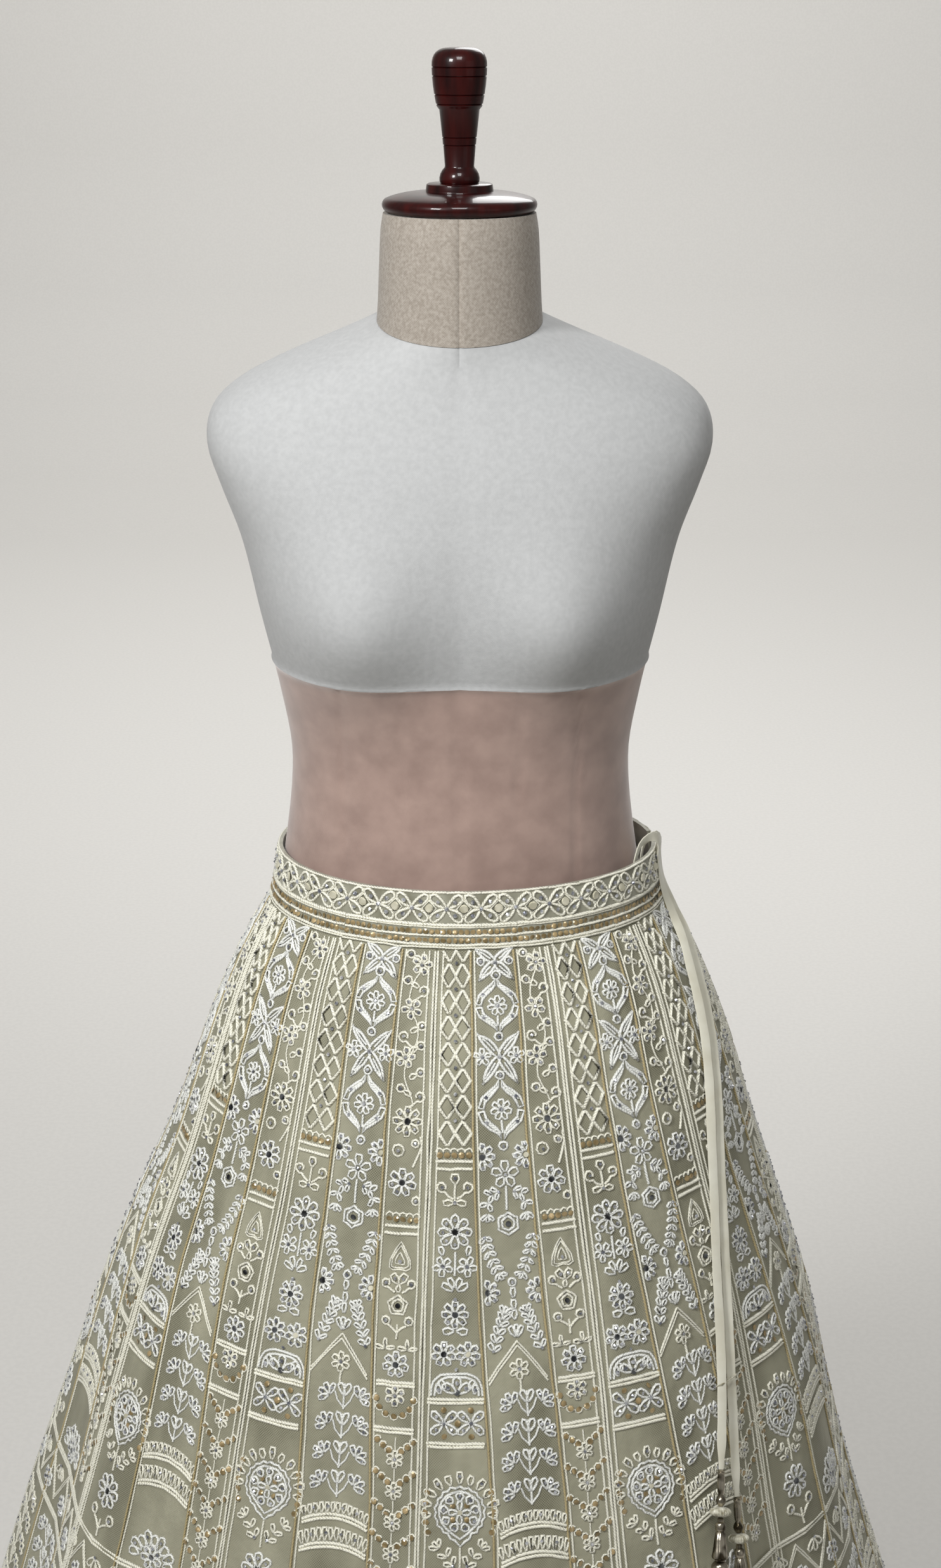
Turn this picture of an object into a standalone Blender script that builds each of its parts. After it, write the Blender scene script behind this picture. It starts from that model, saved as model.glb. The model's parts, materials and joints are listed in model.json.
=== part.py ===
"""A lehenga skirt of twelve flared kalis on its waistband, worn by a limbless dress form.

Units are metres, +Z is up, the front faces -Y and the origin is on the floor under the stand's pole.
"""

import math
from collections import namedtuple

import bmesh
import bpy
from mathutils import Matrix, Vector

# Sizes shared by several pieces
SEAM_GAP = 0.0003
KALIS = 12
FIRST_SEAM_FROM_FRONT = 0.21  # kalis between the centre front and the first seam to its left
DRIFT_CENTRE = 0.20  # the kali number about which the front kalis are widest

# Heights of the garment and the form
HEM_Z = 0.012
BAND_BOTTOM_Z = 0.9955
BAND_TOP_Z = 1.0365
FORM_BOTTOM_Z = 0.770
WAIST_Z = 1.108
SHOULDER_Z = 1.342
NECK_SEAM_Z = 1.4262
NECK_TOP_Z = 1.4985

# Walls
CLOTH = 0.0020
BAND_PROUD = 0.0010
BAND_WALL = 0.0026

# The cloth rests on the form's hip at the band's lower edge, on the left of the front view
WAIST_LEFT = 0.144
HIP_REACH = WAIST_LEFT - CLOTH - 2 * SEAM_GAP

# How finely the solids are drawn
KALI_RINGS = 17
KALI_SEGMENTS = 9
BAND_RINGS = 4
BAND_SEGMENTS = 34
OUTLINE_STEPS = 720
FORM_POINTS = 32
NECK_RINGS = 6

# The skirt's and band's outline at each height: reach to each side, forwards and backwards
Section = namedtuple("Section", "height left right front back")
SKIRT_SECTIONS = (
    Section(HEM_Z, 0.460, 0.455, 0.428, 0.432),
    Section(0.1500, 0.436, 0.419, 0.396, 0.401),
    Section(0.3000, 0.402, 0.376, 0.358, 0.364),
    Section(0.4500, 0.359, 0.331, 0.318, 0.325),
    Section(0.5500, 0.326, 0.306, 0.287, 0.295),
    Section(0.6400, 0.296, 0.285, 0.256, 0.266),
    Section(0.7300, 0.261, 0.256, 0.222, 0.234),
    Section(0.8100, 0.225, 0.229, 0.193, 0.206),
    Section(0.8600, 0.206, 0.214, 0.174, 0.187),
    Section(0.9100, 0.187, 0.196, 0.153, 0.166),
    Section(0.9600, 0.164, 0.174, 0.130, 0.141),
    Section(BAND_BOTTOM_Z, WAIST_LEFT, 0.154, 0.112, 0.120),
    Section(1.0160, 0.139, 0.149, 0.107, 0.114),
    Section(BAND_TOP_Z, 0.136, 0.146, 0.104, 0.110),
)

# Soft flutes of the skirt: where, how wide, how deep at the hem (minus is a trough) and where each starts
Flute = namedtuple("Flute", "degrees spread depth starts_at")
FLUTES = (
    Flute(0, 11, 0.013, 0.78),
    Flute(19, 8, -0.016, 0.74),
    Flute(36, 9, 0.022, 0.92),
    Flute(49, 7, -0.024, 0.90),
    Flute(65, 10, 0.018, 0.84),
    Flute(85, 8, -0.020, 0.76),
    Flute(104, 11, 0.018, 0.82),
    Flute(125, 9, -0.024, 0.86),
    Flute(145, 11, 0.020, 0.80),
    Flute(166, 8, -0.019, 0.72),
    Flute(186, 12, 0.022, 0.84),
    Flute(208, 9, -0.025, 0.88),
    Flute(229, 11, 0.018, 0.80),
    Flute(249, 8, -0.018, 0.74),
    Flute(268, 11, 0.017, 0.82),
    Flute(287, 8, -0.022, 0.86),
    Flute(305, 9, 0.020, 0.88),
    Flute(317, 7, -0.018, 0.76),
    Flute(332, 9, 0.015, 0.80),
    Flute(346, 7, -0.018, 0.80),
)

# The front kalis are cut wider than the back ones at the waist and narrower below the knee
Drift = namedtuple("Drift", "height kalis")
SEAM_DRIFT = (
    Drift(HEM_Z, -0.10),
    Drift(0.4500, -0.10),
    Drift(0.6200, -0.08),
    Drift(0.7500, 0.00),
    Drift(0.8500, 0.03),
    Drift(0.9000, 0.07),
    Drift(0.9500, 0.17),
    Drift(BAND_BOTTOM_Z, 0.26),
    Drift(BAND_TOP_Z, 0.26),
)

# The dress form's sections; tilt is how much a section rises towards the back, power how square it is
FormSection = namedtuple("FormSection", "height half_width front back tilt power")
FORM_SECTIONS = (
    FormSection(FORM_BOTTOM_Z, 0.152, 0.100, 0.112, 0.0, 2.2),
    FormSection(0.7950, 0.160, 0.106, 0.120, 0.0, 2.2),
    FormSection(0.8500, 0.163, 0.108, 0.123, 0.0, 2.2),
    FormSection(0.9000, 0.160, 0.107, 0.120, 0.0, 2.2),
    FormSection(0.9500, 0.152, 0.103, 0.113, 0.0, 2.1),
    FormSection(BAND_BOTTOM_Z, HIP_REACH, 0.096, 0.104, 0.0, 2.0),
    FormSection(1.0350, 0.1325, 0.090, 0.094, 0.0, 2.0),
    FormSection(WAIST_Z, 0.125, 0.086, 0.085, 0.0, 2.2),
    FormSection(1.1600, 0.132, 0.091, 0.089, 0.0, 2.3),
    FormSection(1.2200, 0.145, 0.098, 0.095, 0.0, 2.4),
    FormSection(1.2750, 0.157, 0.099, 0.099, 0.0, 2.4),
    FormSection(1.3150, 0.171, 0.092, 0.096, 0.02, 2.5),
    FormSection(SHOULDER_Z, 0.179, 0.083, 0.090, 0.04, 2.5),
    FormSection(1.3660, 0.175, 0.073, 0.083, 0.07, 2.4),
    FormSection(1.3830, 0.157, 0.066, 0.077, 0.10, 2.3),
    FormSection(1.3980, 0.126, 0.061, 0.071, 0.14, 2.2),
    FormSection(1.4110, 0.092, 0.058, 0.065, 0.18, 2.1),
    FormSection(1.4205, 0.069, 0.057, 0.060, 0.20, 2.0),
    FormSection(NECK_SEAM_Z - SEAM_GAP, 0.0575, 0.0565, 0.0570, 0.207, 2.0),
)
NECK_SECTIONS = (
    FormSection(NECK_SEAM_Z, 0.0580, 0.0570, 0.0575, 0.207, 2.0),
    FormSection(1.4400, 0.0570, 0.0560, 0.0565, 0.150, 2.0),
    FormSection(1.4650, 0.0558, 0.0550, 0.0555, 0.060, 2.0),
    FormSection(1.4880, 0.0545, 0.0540, 0.0545, 0.010, 2.0),
    FormSection(NECK_TOP_Z, 0.0528, 0.0525, 0.0528, 0.0, 2.0),
)

# The bust is two smooth rises on the form's front
BUST_HALF_SPAN = 0.076
BUST_Z = 1.228
BUST_RISE = 0.030
BUST_SPREAD_X = 0.052
BUST_SPREAD_Z = 0.055
BUST_SIDE_FADE = 1.6

# The stand
POLE_RADIUS = 0.014
HUB_TOP_Z = 0.052

# The side opening of the band, and the seam across from it
OPENING_DEGREES = 98.0
BACK_SEAM_DEGREES = 262.0
OPENING_WIDTH = 0.006

# The tube that stands for each flat strand of the drawstring
STRAND_RADIUS = 0.0021
STRAND_STEP = 0.0125

# A turned profile's row: distance along its axis and radius
Turn = namedtuple("Turn", "along radius")
NECK_CAP = (
    Turn(0.0, 0.0495),
    Turn(0.0022, 0.0525),
    Turn(0.0055, 0.0535),
    Turn(0.0088, 0.0518),
    Turn(0.0112, 0.0450),
    Turn(0.0132, 0.0345),
    Turn(0.0140, 0.0232),
    Turn(0.0180, 0.0226),
    Turn(0.0192, 0.0215),
)
HANDLE = (
    Turn(0.0, 0.0132),
    Turn(0.0035, 0.0138),
    Turn(0.0085, 0.0118),
    Turn(0.0110, 0.0100),
    Turn(0.0260, 0.0112),
    Turn(0.0276, 0.0116),
    Turn(0.0322, 0.0120),
    Turn(0.0490, 0.0141),
    Turn(0.0510, 0.0158),
    Turn(0.0538, 0.0166),
    Turn(0.0600, 0.0174),
    Turn(0.0704, 0.0186),
    Turn(0.0765, 0.0188),
    Turn(0.0810, 0.0182),
    Turn(0.0850, 0.0160),
    Turn(0.0875, 0.0120),
    Turn(0.0882, 0.0060),
)
BASE = (
    Turn(0.0, 0.2030),
    Turn(0.0020, 0.2050),
    Turn(0.0160, 0.2050),
    Turn(0.0200, 0.2020),
    Turn(0.0220, 0.1950),
    Turn(0.0260, 0.0480),
    Turn(0.0320, 0.0340),
    Turn(0.0490, 0.0240),
    Turn(HUB_TOP_Z, 0.0210),
)

# A latkan on a strand's end: a metal cap and ball, a ribbed silk bead, and a faceted bell with its drop
LATKAN_CAP = (
    Turn(0.0, 0.0022),
    Turn(0.0010, 0.0028),
    Turn(0.0160, 0.0025),
    Turn(0.0172, 0.0018),
    Turn(0.0192, 0.0030),
    Turn(0.0215, 0.0036),
    Turn(0.0240, 0.0030),
    Turn(0.0256, 0.0018),
)
LATKAN_BEAD = (
    Turn(0.0, 0.0032),
    Turn(0.0010, 0.0060),
    Turn(0.0035, 0.0077),
    Turn(0.0060, 0.0060),
    Turn(0.0070, 0.0032),
)
LATKAN_BELL = (
    Turn(0.0, 0.0022),
    Turn(0.0030, 0.0024),
    Turn(0.0045, 0.0038),
    Turn(0.0085, 0.0038),
    Turn(0.0098, 0.0030),
    Turn(0.0110, 0.0038),
    Turn(0.0280, 0.0058),
    Turn(0.0300, 0.0036),
    Turn(0.0325, 0.0060),
    Turn(0.0355, 0.0064),
    Turn(0.0385, 0.0056),
    Turn(0.0405, 0.0026),
    Turn(0.0440, 0.0030),
    Turn(0.0480, 0.0022),
    Turn(0.0495, 0.0008),
)
Fluting = namedtuple("Fluting", "count depth")
PLAIN = Fluting(0, 0.0)

# A strand's route: angle round the garment, height, and distance out from the cloth's outer face
Route = namedtuple("Route", "degrees height out")
FIRST_STRAND = (
    Route(64.0, 1.0180, -0.0058),
    Route(67.5, 1.0335, -0.0060),
    Route(71.5, 1.0450, -0.0045),
    Route(75.5, 1.0490, 0.0010),
    Route(79.0, 1.0440, 0.0048),
    Route(80.6, 1.0300, 0.0038),
    Route(80.8, 1.0080, 0.0035),
    Route(79.2, 0.9860, 0.0040),
    Route(75.4, 0.9700, 0.0042),
    Route(70.9, 0.9500, 0.0042),
    Route(67.8, 0.9280, 0.0042),
    Route(64.8, 0.9050, 0.0042),
    Route(61.5, 0.8820, 0.0042),
    Route(58.9, 0.8620, 0.0042),
    Route(56.6, 0.8420, 0.0042),
    Route(53.0, 0.8000, 0.0042),
    Route(49.2, 0.7550, 0.0046),
    Route(45.7, 0.7100, 0.0060),
    Route(42.2, 0.6720, 0.0084),
    Route(38.7, 0.6270, 0.0104),
)
SECOND_STRAND = (
    Route(69.5, 1.0160, -0.0060),
    Route(73.0, 1.0300, -0.0062),
    Route(77.0, 1.0420, -0.0048),
    Route(81.0, 1.0460, 0.0010),
    Route(84.5, 1.0410, 0.0048),
    Route(86.4, 1.0280, 0.0038),
    Route(86.6, 1.0080, 0.0035),
    Route(84.8, 0.9860, 0.0040),
    Route(80.6, 0.9680, 0.0042),
    Route(75.8, 0.9480, 0.0042),
    Route(71.9, 0.9240, 0.0042),
    Route(68.3, 0.9010, 0.0042),
    Route(64.6, 0.8780, 0.0042),
    Route(61.8, 0.8580, 0.0042),
    Route(59.4, 0.8380, 0.0042),
    Route(55.5, 0.7980, 0.0042),
    Route(51.7, 0.7520, 0.0044),
    Route(48.3, 0.7060, 0.0052),
    Route(45.2, 0.6660, 0.0064),
    Route(41.3, 0.6000, 0.0086),
)


def mix(a, b, share):
    """The value that far from a to b."""
    return a + (b - a) * share


def spaced(start, end, count):
    """Evenly spaced values from start to end."""
    return [mix(start, end, k / count) for k in range(count + 1)]


def smooth_step(share):
    """A share from 0 to 1 with level ends."""
    share = min(1.0, max(0.0, share))
    return share * share * (3 - 2 * share)


def smooth_at(rows, place):
    """The rows' other columns at a place along their first, on a smooth curve through every row."""
    last = len(rows) - 1
    upper = next((k for k in range(1, last) if rows[k][0] > place), last)
    here, there = rows[upper - 1], rows[upper]
    before, after = rows[max(upper - 2, 0)], rows[min(upper + 1, last)]
    span = there[0] - here[0]
    share = (place - here[0]) / span
    square, cube = share**2, share**3
    values = []
    for p0, p1, p2, p3 in zip(before[1:], here[1:], there[1:], after[1:]):
        leaving = (p2 - p0) / (there[0] - before[0]) * span
        arriving = (p3 - p1) / (after[0] - here[0]) * span
        value = (2 * cube - 3 * square + 1) * p1 + (cube - 2 * square + share) * leaving
        values.append(value + (3 * square - 2 * cube) * p2 + (cube - square) * arriving)
    return values


def flute_depth(degrees, height):
    """How far the flutes move the cloth outwards at this angle and height."""
    total = 0.0
    for flute in FLUTES:
        if height >= flute.starts_at:
            continue
        away = (degrees - flute.degrees + 180) % 360 - 180
        fall = (flute.starts_at - height) / (flute.starts_at - HEM_Z)
        total += flute.depth * smooth_step(fall) * math.exp(-((away / flute.spread) ** 2))
    return total


def skirt_point(degrees, height):
    """The outer surface of the cloth, by angle from the front towards the right of the front view."""
    left, right, front, back = smooth_at(SKIRT_SECTIONS, height)
    turn = math.radians(degrees)
    side, ahead = math.sin(turn), math.cos(turn)
    x = side * (right if side > 0 else left)
    y = -ahead * (front if ahead > 0 else back)
    return Vector((x, y, height)) + Vector((side, -ahead, 0)) * flute_depth(degrees, height)


class Ring:
    """One level of the garment, read by its distance round the cloth."""

    def __init__(self, height):
        self.drift = smooth_at(SEAM_DRIFT, height)[0]
        self.points = [
            skirt_point(360 * k / OUTLINE_STEPS, height) for k in range(OUTLINE_STEPS + 1)
        ]
        self.run = [0.0]
        for here, there in zip(self.points, self.points[1:]):
            self.run.append(self.run[-1] + (there - here).length)
        self.girth = self.run[-1]

    def at_share(self, share):
        """The point at that share of the girth from the centre front, and its outward direction."""
        wanted = share % 1.0 * self.girth
        low, high = 0, OUTLINE_STEPS
        while high - low > 1:
            middle = (low + high) // 2
            if self.run[middle] <= wanted:
                low = middle
            else:
                high = middle
        part = (wanted - self.run[low]) / (self.run[high] - self.run[low])
        along = (self.points[high] - self.points[low]).normalized()
        return self.points[low].lerp(self.points[high], part), Vector((along.y, -along.x, 0))

    def at_kali(self, kali):
        """The point that many kalis from the first seam, and its outward direction."""
        swing = math.sin(2 * math.pi * (kali - DRIFT_CENTRE) / KALIS)
        return self.at_share((kali - FIRST_SEAM_FROM_FRONT + self.drift * swing) / KALIS)

    def share_of_angle(self, degrees):
        """The share of the girth at which this angle lies."""
        return self.run[round(degrees / 360 * OUTLINE_STEPS)] / self.girth


def cloth_normal(out, above, below):
    """The outward direction tipped to stand square on the cloth between two levels."""
    across = Vector((-out.y, out.x, 0))
    normal = across.cross(below - above)
    if normal.dot(out) < 0:
        normal.negate()
    return normal.normalized()


def wall_rows(levels, outwards, thickness):
    """Outer and inner points of a wall through rows of points with their outward directions."""
    outer, inner = [], []
    for k, row in enumerate(levels):
        above, below = levels[max(k - 1, 0)], levels[min(k + 1, len(levels) - 1)]
        normals = [
            cloth_normal(out, above[c][0], below[c][0]) for c, (_, out) in enumerate(row)
        ]
        outer.append([place + n * outwards for (place, _), n in zip(row, normals)])
        inner.append([place + n * (outwards - thickness) for (place, _), n in zip(row, normals)])
    return outer, inner


def material(name, colour, roughness, metallic=0.0, sheen=0.0):
    """A plain finish for the solids."""
    made = bpy.data.materials.new(name)
    made.use_nodes = True
    surface = made.node_tree.nodes["Principled BSDF"]
    surface.inputs["Base Color"].default_value = (*colour, 1)
    surface.inputs["Roughness"].default_value = roughness
    surface.inputs["Metallic"].default_value = metallic
    surface.inputs["Sheen Weight"].default_value = sheen
    made.diffuse_color = (*colour, 1)
    return made


def new_object(name, data, finish):
    """Adds an object for one piece."""
    made = bpy.data.objects.new(name, data)
    bpy.context.scene.collection.objects.link(made)
    made.data.materials.append(finish)
    return made


def object_from(name, vertices, faces, finish, sharp_degrees=40):
    """A mesh object with smooth faces and its normals facing out."""
    mesh = bpy.data.meshes.new(name)
    mesh.from_pydata(vertices, [], faces)
    work = bmesh.new()
    work.from_mesh(mesh)
    bmesh.ops.recalc_face_normals(work, faces=work.faces)
    work.to_mesh(mesh)
    work.free()
    mesh.shade_smooth()
    mesh.set_sharp_from_angle(angle=math.radians(sharp_degrees))
    return new_object(name, mesh, finish)


def add_wall(name, outer_rows, inner_rows, finish):
    """A closed wall from matching rows of outer and inner points."""
    rows, columns = len(outer_rows), len(outer_rows[0])
    vertices = [point for side in (outer_rows, inner_rows) for row in side for point in row]

    def corner(side, row, column):
        return (side * rows + row) * columns + column

    faces = []
    for row in range(rows - 1):
        for column in range(columns - 1):
            square = [(row, column), (row, column + 1), (row + 1, column + 1), (row + 1, column)]
            faces.append([corner(0, *place) for place in square])
            faces.append([corner(1, *place) for place in reversed(square)])
    rim = [(0, column) for column in range(columns)]
    rim += [(row, columns - 1) for row in range(1, rows)]
    rim += [(rows - 1, column) for column in range(columns - 2, -1, -1)]
    rim += [(row, 0) for row in range(rows - 2, 0, -1)]
    for here, there in zip(rim, rim[1:] + rim[:1]):
        faces.append([corner(0, *there), corner(0, *here), corner(1, *here), corner(1, *there)])
    return object_from(name, vertices, faces, finish)


def tube_faces(rings, sides):
    """Faces round the rings of a closed solid, with a flat face on each end."""
    faces = []
    for ring in range(rings - 1):
        low, high = ring * sides, (ring + 1) * sides
        for k in range(sides):
            after = (k + 1) % sides
            faces.append([low + k, low + after, high + after, high + k])
    faces.append(list(range(sides)))
    faces.append([(rings - 1) * sides + k for k in range(sides)])
    return faces


def add_kalis(finish):
    """The twelve flared panels, each a wall from the band down to the hem."""
    # The levels lie a little closer together near the hips, where the outline bends most
    top = BAND_BOTTOM_Z - SEAM_GAP
    crowding = 1.15
    levels = [mix(top, HEM_Z, share**crowding) for share in spaced(0, 1, KALI_RINGS - 1)]
    rings = [Ring(height) for height in levels]
    for number in range(KALIS):
        rows = []
        for ring in rings:
            inset = SEAM_GAP / 2 / (ring.girth / KALIS)
            places = spaced(number + inset, number + 1 - inset, KALI_SEGMENTS)
            rows.append([ring.at_kali(place) for place in places])
        outer, inner = wall_rows(rows, 0.0, CLOTH)
        add_wall(f"kali_{number + 1:02d}", outer, inner, finish)


def add_band(finish):
    """The waistband: a front and a back length, seamed at one side and open at the other."""
    rings = [Ring(height) for height in spaced(BAND_TOP_Z, BAND_BOTTOM_Z, BAND_RINGS - 1)]
    girth = rings[0].girth
    opening = rings[0].share_of_angle(OPENING_DEGREES)
    seam = rings[0].share_of_angle(BACK_SEAM_DEGREES)
    half_slit, half_gap = OPENING_WIDTH / 2 / girth, SEAM_GAP / 2 / girth
    lengths = (
        ("waistband_back", opening + half_slit, seam - half_gap),
        ("waistband_front", seam + half_gap, 1 + opening - half_slit),
    )
    for name, start, end in lengths:
        rows = [[ring.at_share(s) for s in spaced(start, end, BAND_SEGMENTS)] for ring in rings]
        outer, inner = wall_rows(rows, BAND_PROUD, BAND_WALL)
        add_wall(name, outer, inner, finish)


def form_ring(sections, height):
    """One ring of the dress form, with the bust's rises on its front."""
    half_width, front, back, tilt, power = smooth_at(sections, height)
    ring = []
    for k in range(FORM_POINTS):
        turn = 2 * math.pi * k / FORM_POINTS
        side, ahead = math.sin(turn), math.cos(turn)
        x = half_width * math.copysign(abs(side) ** (2 / power), side)
        y = -(front if ahead > 0 else back) * math.copysign(abs(ahead) ** (2 / power), ahead)
        z = height + tilt * y
        rise = 0.0
        for centre in (-BUST_HALF_SPAN, BUST_HALF_SPAN):
            away_x, away_z = (x - centre) / BUST_SPREAD_X, (z - BUST_Z) / BUST_SPREAD_Z
            rise += BUST_RISE * math.exp(-(away_x**2) - away_z**2)
        ring.append(Vector((x, y - rise * smooth_step(ahead * BUST_SIDE_FADE), z)))
    return ring


def add_form_piece(name, sections, heights, finish):
    """A closed solid of the dress form with a ring at each height."""
    rings = [form_ring(sections, height) for height in heights]
    vertices = [point for ring in rings for point in ring]
    return object_from(name, vertices, tube_faces(len(rings), FORM_POINTS), finish)


def add_turned(name, profile, finish, placed, sides, fluting=PLAIN):
    """A turned solid along its axis from rows of distance and radius, with optional flutes round it."""
    vertices = []
    for along, radius in profile:
        for k in range(sides):
            turn = 2 * math.pi * k / sides
            reach = radius * (1 + fluting.depth * math.cos(fluting.count * turn))
            vertices.append(placed @ Vector((reach * math.cos(turn), reach * math.sin(turn), along)))
    faces = tube_faces(len(profile), sides)
    return object_from(name, vertices, faces, finish, sharp_degrees=32)


def raised(height):
    """A placing that lifts a turned piece to this height."""
    return Matrix.Translation((0, 0, height))


def add_form(canvas, neck_cloth, wood, steel):
    """The limbless form, its neck, the turned cap with its handle, the pole and the base."""
    torso_top = FORM_SECTIONS[-1].height
    heights = spaced(FORM_BOTTOM_Z, BAND_BOTTOM_Z, 5)[:-1]
    heights += spaced(BAND_BOTTOM_Z, WAIST_Z, 3)[:-1]
    heights += spaced(WAIST_Z, SHOULDER_Z, 9)[:-1]
    heights += spaced(SHOULDER_Z, torso_top, 8)
    add_form_piece("form_torso", FORM_SECTIONS, heights, canvas)
    neck_heights = spaced(NECK_SEAM_Z, NECK_TOP_Z, NECK_RINGS - 1)
    add_form_piece("form_neck", NECK_SECTIONS, neck_heights, neck_cloth)
    cap_z = NECK_TOP_Z + SEAM_GAP
    add_turned("form_neck_cap", NECK_CAP, wood, raised(cap_z), sides=32)
    handle_z = cap_z + NECK_CAP[-1].along + SEAM_GAP
    add_turned("form_handle", HANDLE, wood, raised(handle_z), sides=20)
    pole = (Turn(0.0, POLE_RADIUS), Turn(FORM_BOTTOM_Z - HUB_TOP_Z - 2 * SEAM_GAP, POLE_RADIUS))
    add_turned("stand_pole", pole, steel, raised(HUB_TOP_Z + SEAM_GAP), sides=20)
    add_turned("stand_base", BASE, wood, raised(0.0), sides=40)


def route_points(route):
    """The route's own points in space, off the cloth's outer face."""
    points = []
    for degrees, height, out in route:
        cloth_height = min(height, BAND_TOP_Z)
        here = skirt_point(degrees, cloth_height)
        along = (skirt_point(degrees + 0.5, cloth_height) - here).normalized()
        place = here + Vector((along.y, -along.x, 0)) * out
        points.append(Vector((place.x, place.y, height)))
    return points


def smooth_route(points, step):
    """Evenly spaced points on a smooth curve through the route's own points."""
    run = [0.0]
    for here, there in zip(points, points[1:]):
        run.append(run[-1] + (there - here).length)
    rows = [(length, *point) for length, point in zip(run, points)]
    count = round(run[-1] / step)
    return [Vector(smooth_at(rows, length)) for length in spaced(0, run[-1], count)]


def add_strand(name, route, finish):
    """One free strand of the drawstring as a tube. Returns its points."""
    points = smooth_route(route_points(route), STRAND_STEP)
    curve = bpy.data.curves.new(name, "CURVE")
    curve.dimensions = "3D"
    curve.bevel_depth = STRAND_RADIUS
    curve.bevel_resolution = 2
    curve.use_fill_caps = True
    line = curve.splines.new("POLY")
    line.points.add(len(points) - 1)
    for spot, place in zip(line.points, points):
        spot.co = (*place, 1)
    new_object(name, curve, finish)
    return points


def add_latkan(side, points, metal, silk):
    """The ornament on a strand's end, lying in line with it."""
    direction = (points[-1] - points[-4]).normalized()
    turned = direction.to_track_quat("Z", "Y").to_matrix().to_4x4()
    pieces = (
        ("cap", LATKAN_CAP, metal, 10, PLAIN),
        ("bead", LATKAN_BEAD, silk, 24, Fluting(12, 0.03)),
        ("bell", LATKAN_BELL, metal, 12, Fluting(6, 0.05)),
    )
    along = SEAM_GAP
    for label, profile, finish, sides, fluting in pieces:
        placed = Matrix.Translation(points[-1] + direction * along) @ turned
        add_turned(f"latkan_{side}_{label}", profile, finish, placed, sides, fluting)
        along += profile[-1].along + SEAM_GAP


def main():
    for old in list(bpy.data.objects):
        bpy.data.objects.remove(old)
    net = material("ivory_net", (0.66, 0.62, 0.49), 0.6, sheen=0.4)
    band = material("ivory_band", (0.74, 0.70, 0.58), 0.6, sheen=0.3)
    canvas = material("form_canvas", (0.80, 0.79, 0.76), 0.85)
    neck_cloth = material("neck_canvas", (0.66, 0.63, 0.58), 0.9)
    wood = material("varnished_wood", (0.13, 0.012, 0.010), 0.18)
    steel = material("stand_steel", (0.55, 0.55, 0.56), 0.35, metallic=1.0)
    silk = material("silk_cord", (0.78, 0.74, 0.62), 0.45, sheen=0.4)
    metal = material("latkan_metal", (0.62, 0.57, 0.46), 0.25, metallic=1.0)
    add_kalis(net)
    add_band(band)
    add_form(canvas, neck_cloth, wood, steel)
    add_latkan("first", add_strand("strand_first", FIRST_STRAND, silk), metal, silk)
    add_latkan("second", add_strand("strand_second", SECOND_STRAND, silk), metal, silk)


main()
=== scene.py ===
"""A lehenga skirt on a limbless dress form, finished for rendering.

Units are metres, +Z is up and the front faces -Y. The embroidery is laid out flat, in millimetres on one kali
and on one repeat of the band, and is then carried onto the cloth of each kali and of the band.
"""

from __future__ import annotations

import json
import logging
import math
from collections.abc import Callable, Iterable, Sequence
from dataclasses import dataclass, field
from enum import IntEnum
from functools import partial
from typing import NamedTuple

import bmesh
import bpy
import numpy as np
from mathutils import Matrix, Vector

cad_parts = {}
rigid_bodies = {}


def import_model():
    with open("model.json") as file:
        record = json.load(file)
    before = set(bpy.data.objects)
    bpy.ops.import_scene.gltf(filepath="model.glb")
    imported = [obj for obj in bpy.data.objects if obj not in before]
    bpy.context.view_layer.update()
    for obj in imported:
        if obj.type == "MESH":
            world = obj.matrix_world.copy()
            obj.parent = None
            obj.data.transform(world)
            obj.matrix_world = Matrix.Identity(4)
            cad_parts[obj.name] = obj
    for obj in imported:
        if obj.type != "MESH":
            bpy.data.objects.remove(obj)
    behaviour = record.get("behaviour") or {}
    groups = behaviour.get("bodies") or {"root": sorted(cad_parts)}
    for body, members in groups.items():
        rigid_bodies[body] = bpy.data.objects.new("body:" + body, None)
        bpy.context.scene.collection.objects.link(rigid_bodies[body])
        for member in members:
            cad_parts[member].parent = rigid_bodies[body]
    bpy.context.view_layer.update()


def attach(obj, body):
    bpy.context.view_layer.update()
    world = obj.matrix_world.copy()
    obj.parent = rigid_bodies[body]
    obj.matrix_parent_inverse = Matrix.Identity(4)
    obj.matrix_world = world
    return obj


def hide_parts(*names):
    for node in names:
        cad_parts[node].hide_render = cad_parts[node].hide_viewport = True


log = logging.getLogger("lehenga")

MM = 0.001
KALIS = 12
BODY = "root"
# Faces that meet at more than this have a sharp edge
SHARP_DEGREES = 38
# Turns flat places into points and outward directions
Carry = Callable[[np.ndarray], tuple[np.ndarray, np.ndarray]]

# Sizes that the solids have too
SEAM_GAP = 0.0003
FIRST_SEAM_FROM_FRONT = 0.21
DRIFT_CENTRE = 0.2
HEM_Z = 0.012
BAND_BOTTOM_Z = 0.9955
BAND_TOP_Z = 1.0365
FORM_BOTTOM_Z = 0.77
WAIST_Z = 1.108
SHOULDER_Z = 1.342
NECK_SEAM_Z = 1.4262
NECK_TOP_Z = 1.4985
CLOTH = 0.002
BAND_PROUD = 0.001
BAND_WALL = 0.0026
WAIST_LEFT = 0.144
HIP_REACH = WAIST_LEFT - CLOTH - 2 * SEAM_GAP
POLE_RADIUS = 0.014
HUB_TOP_Z = 0.052
OPENING_DEGREES = 98.0
BACK_SEAM_DEGREES = 262.0
OPENING_WIDTH = 0.006


class Section(NamedTuple):
    """The skirt's reach to each side, forwards and backwards at a height."""

    height: float
    left: float
    right: float
    front: float
    back: float


class Flute(NamedTuple):
    """A soft fold: where it is, how wide, how deep at the hem (minus is a trough) and where it starts."""

    degrees: float
    spread: float
    depth: float
    starts_at: float


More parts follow.
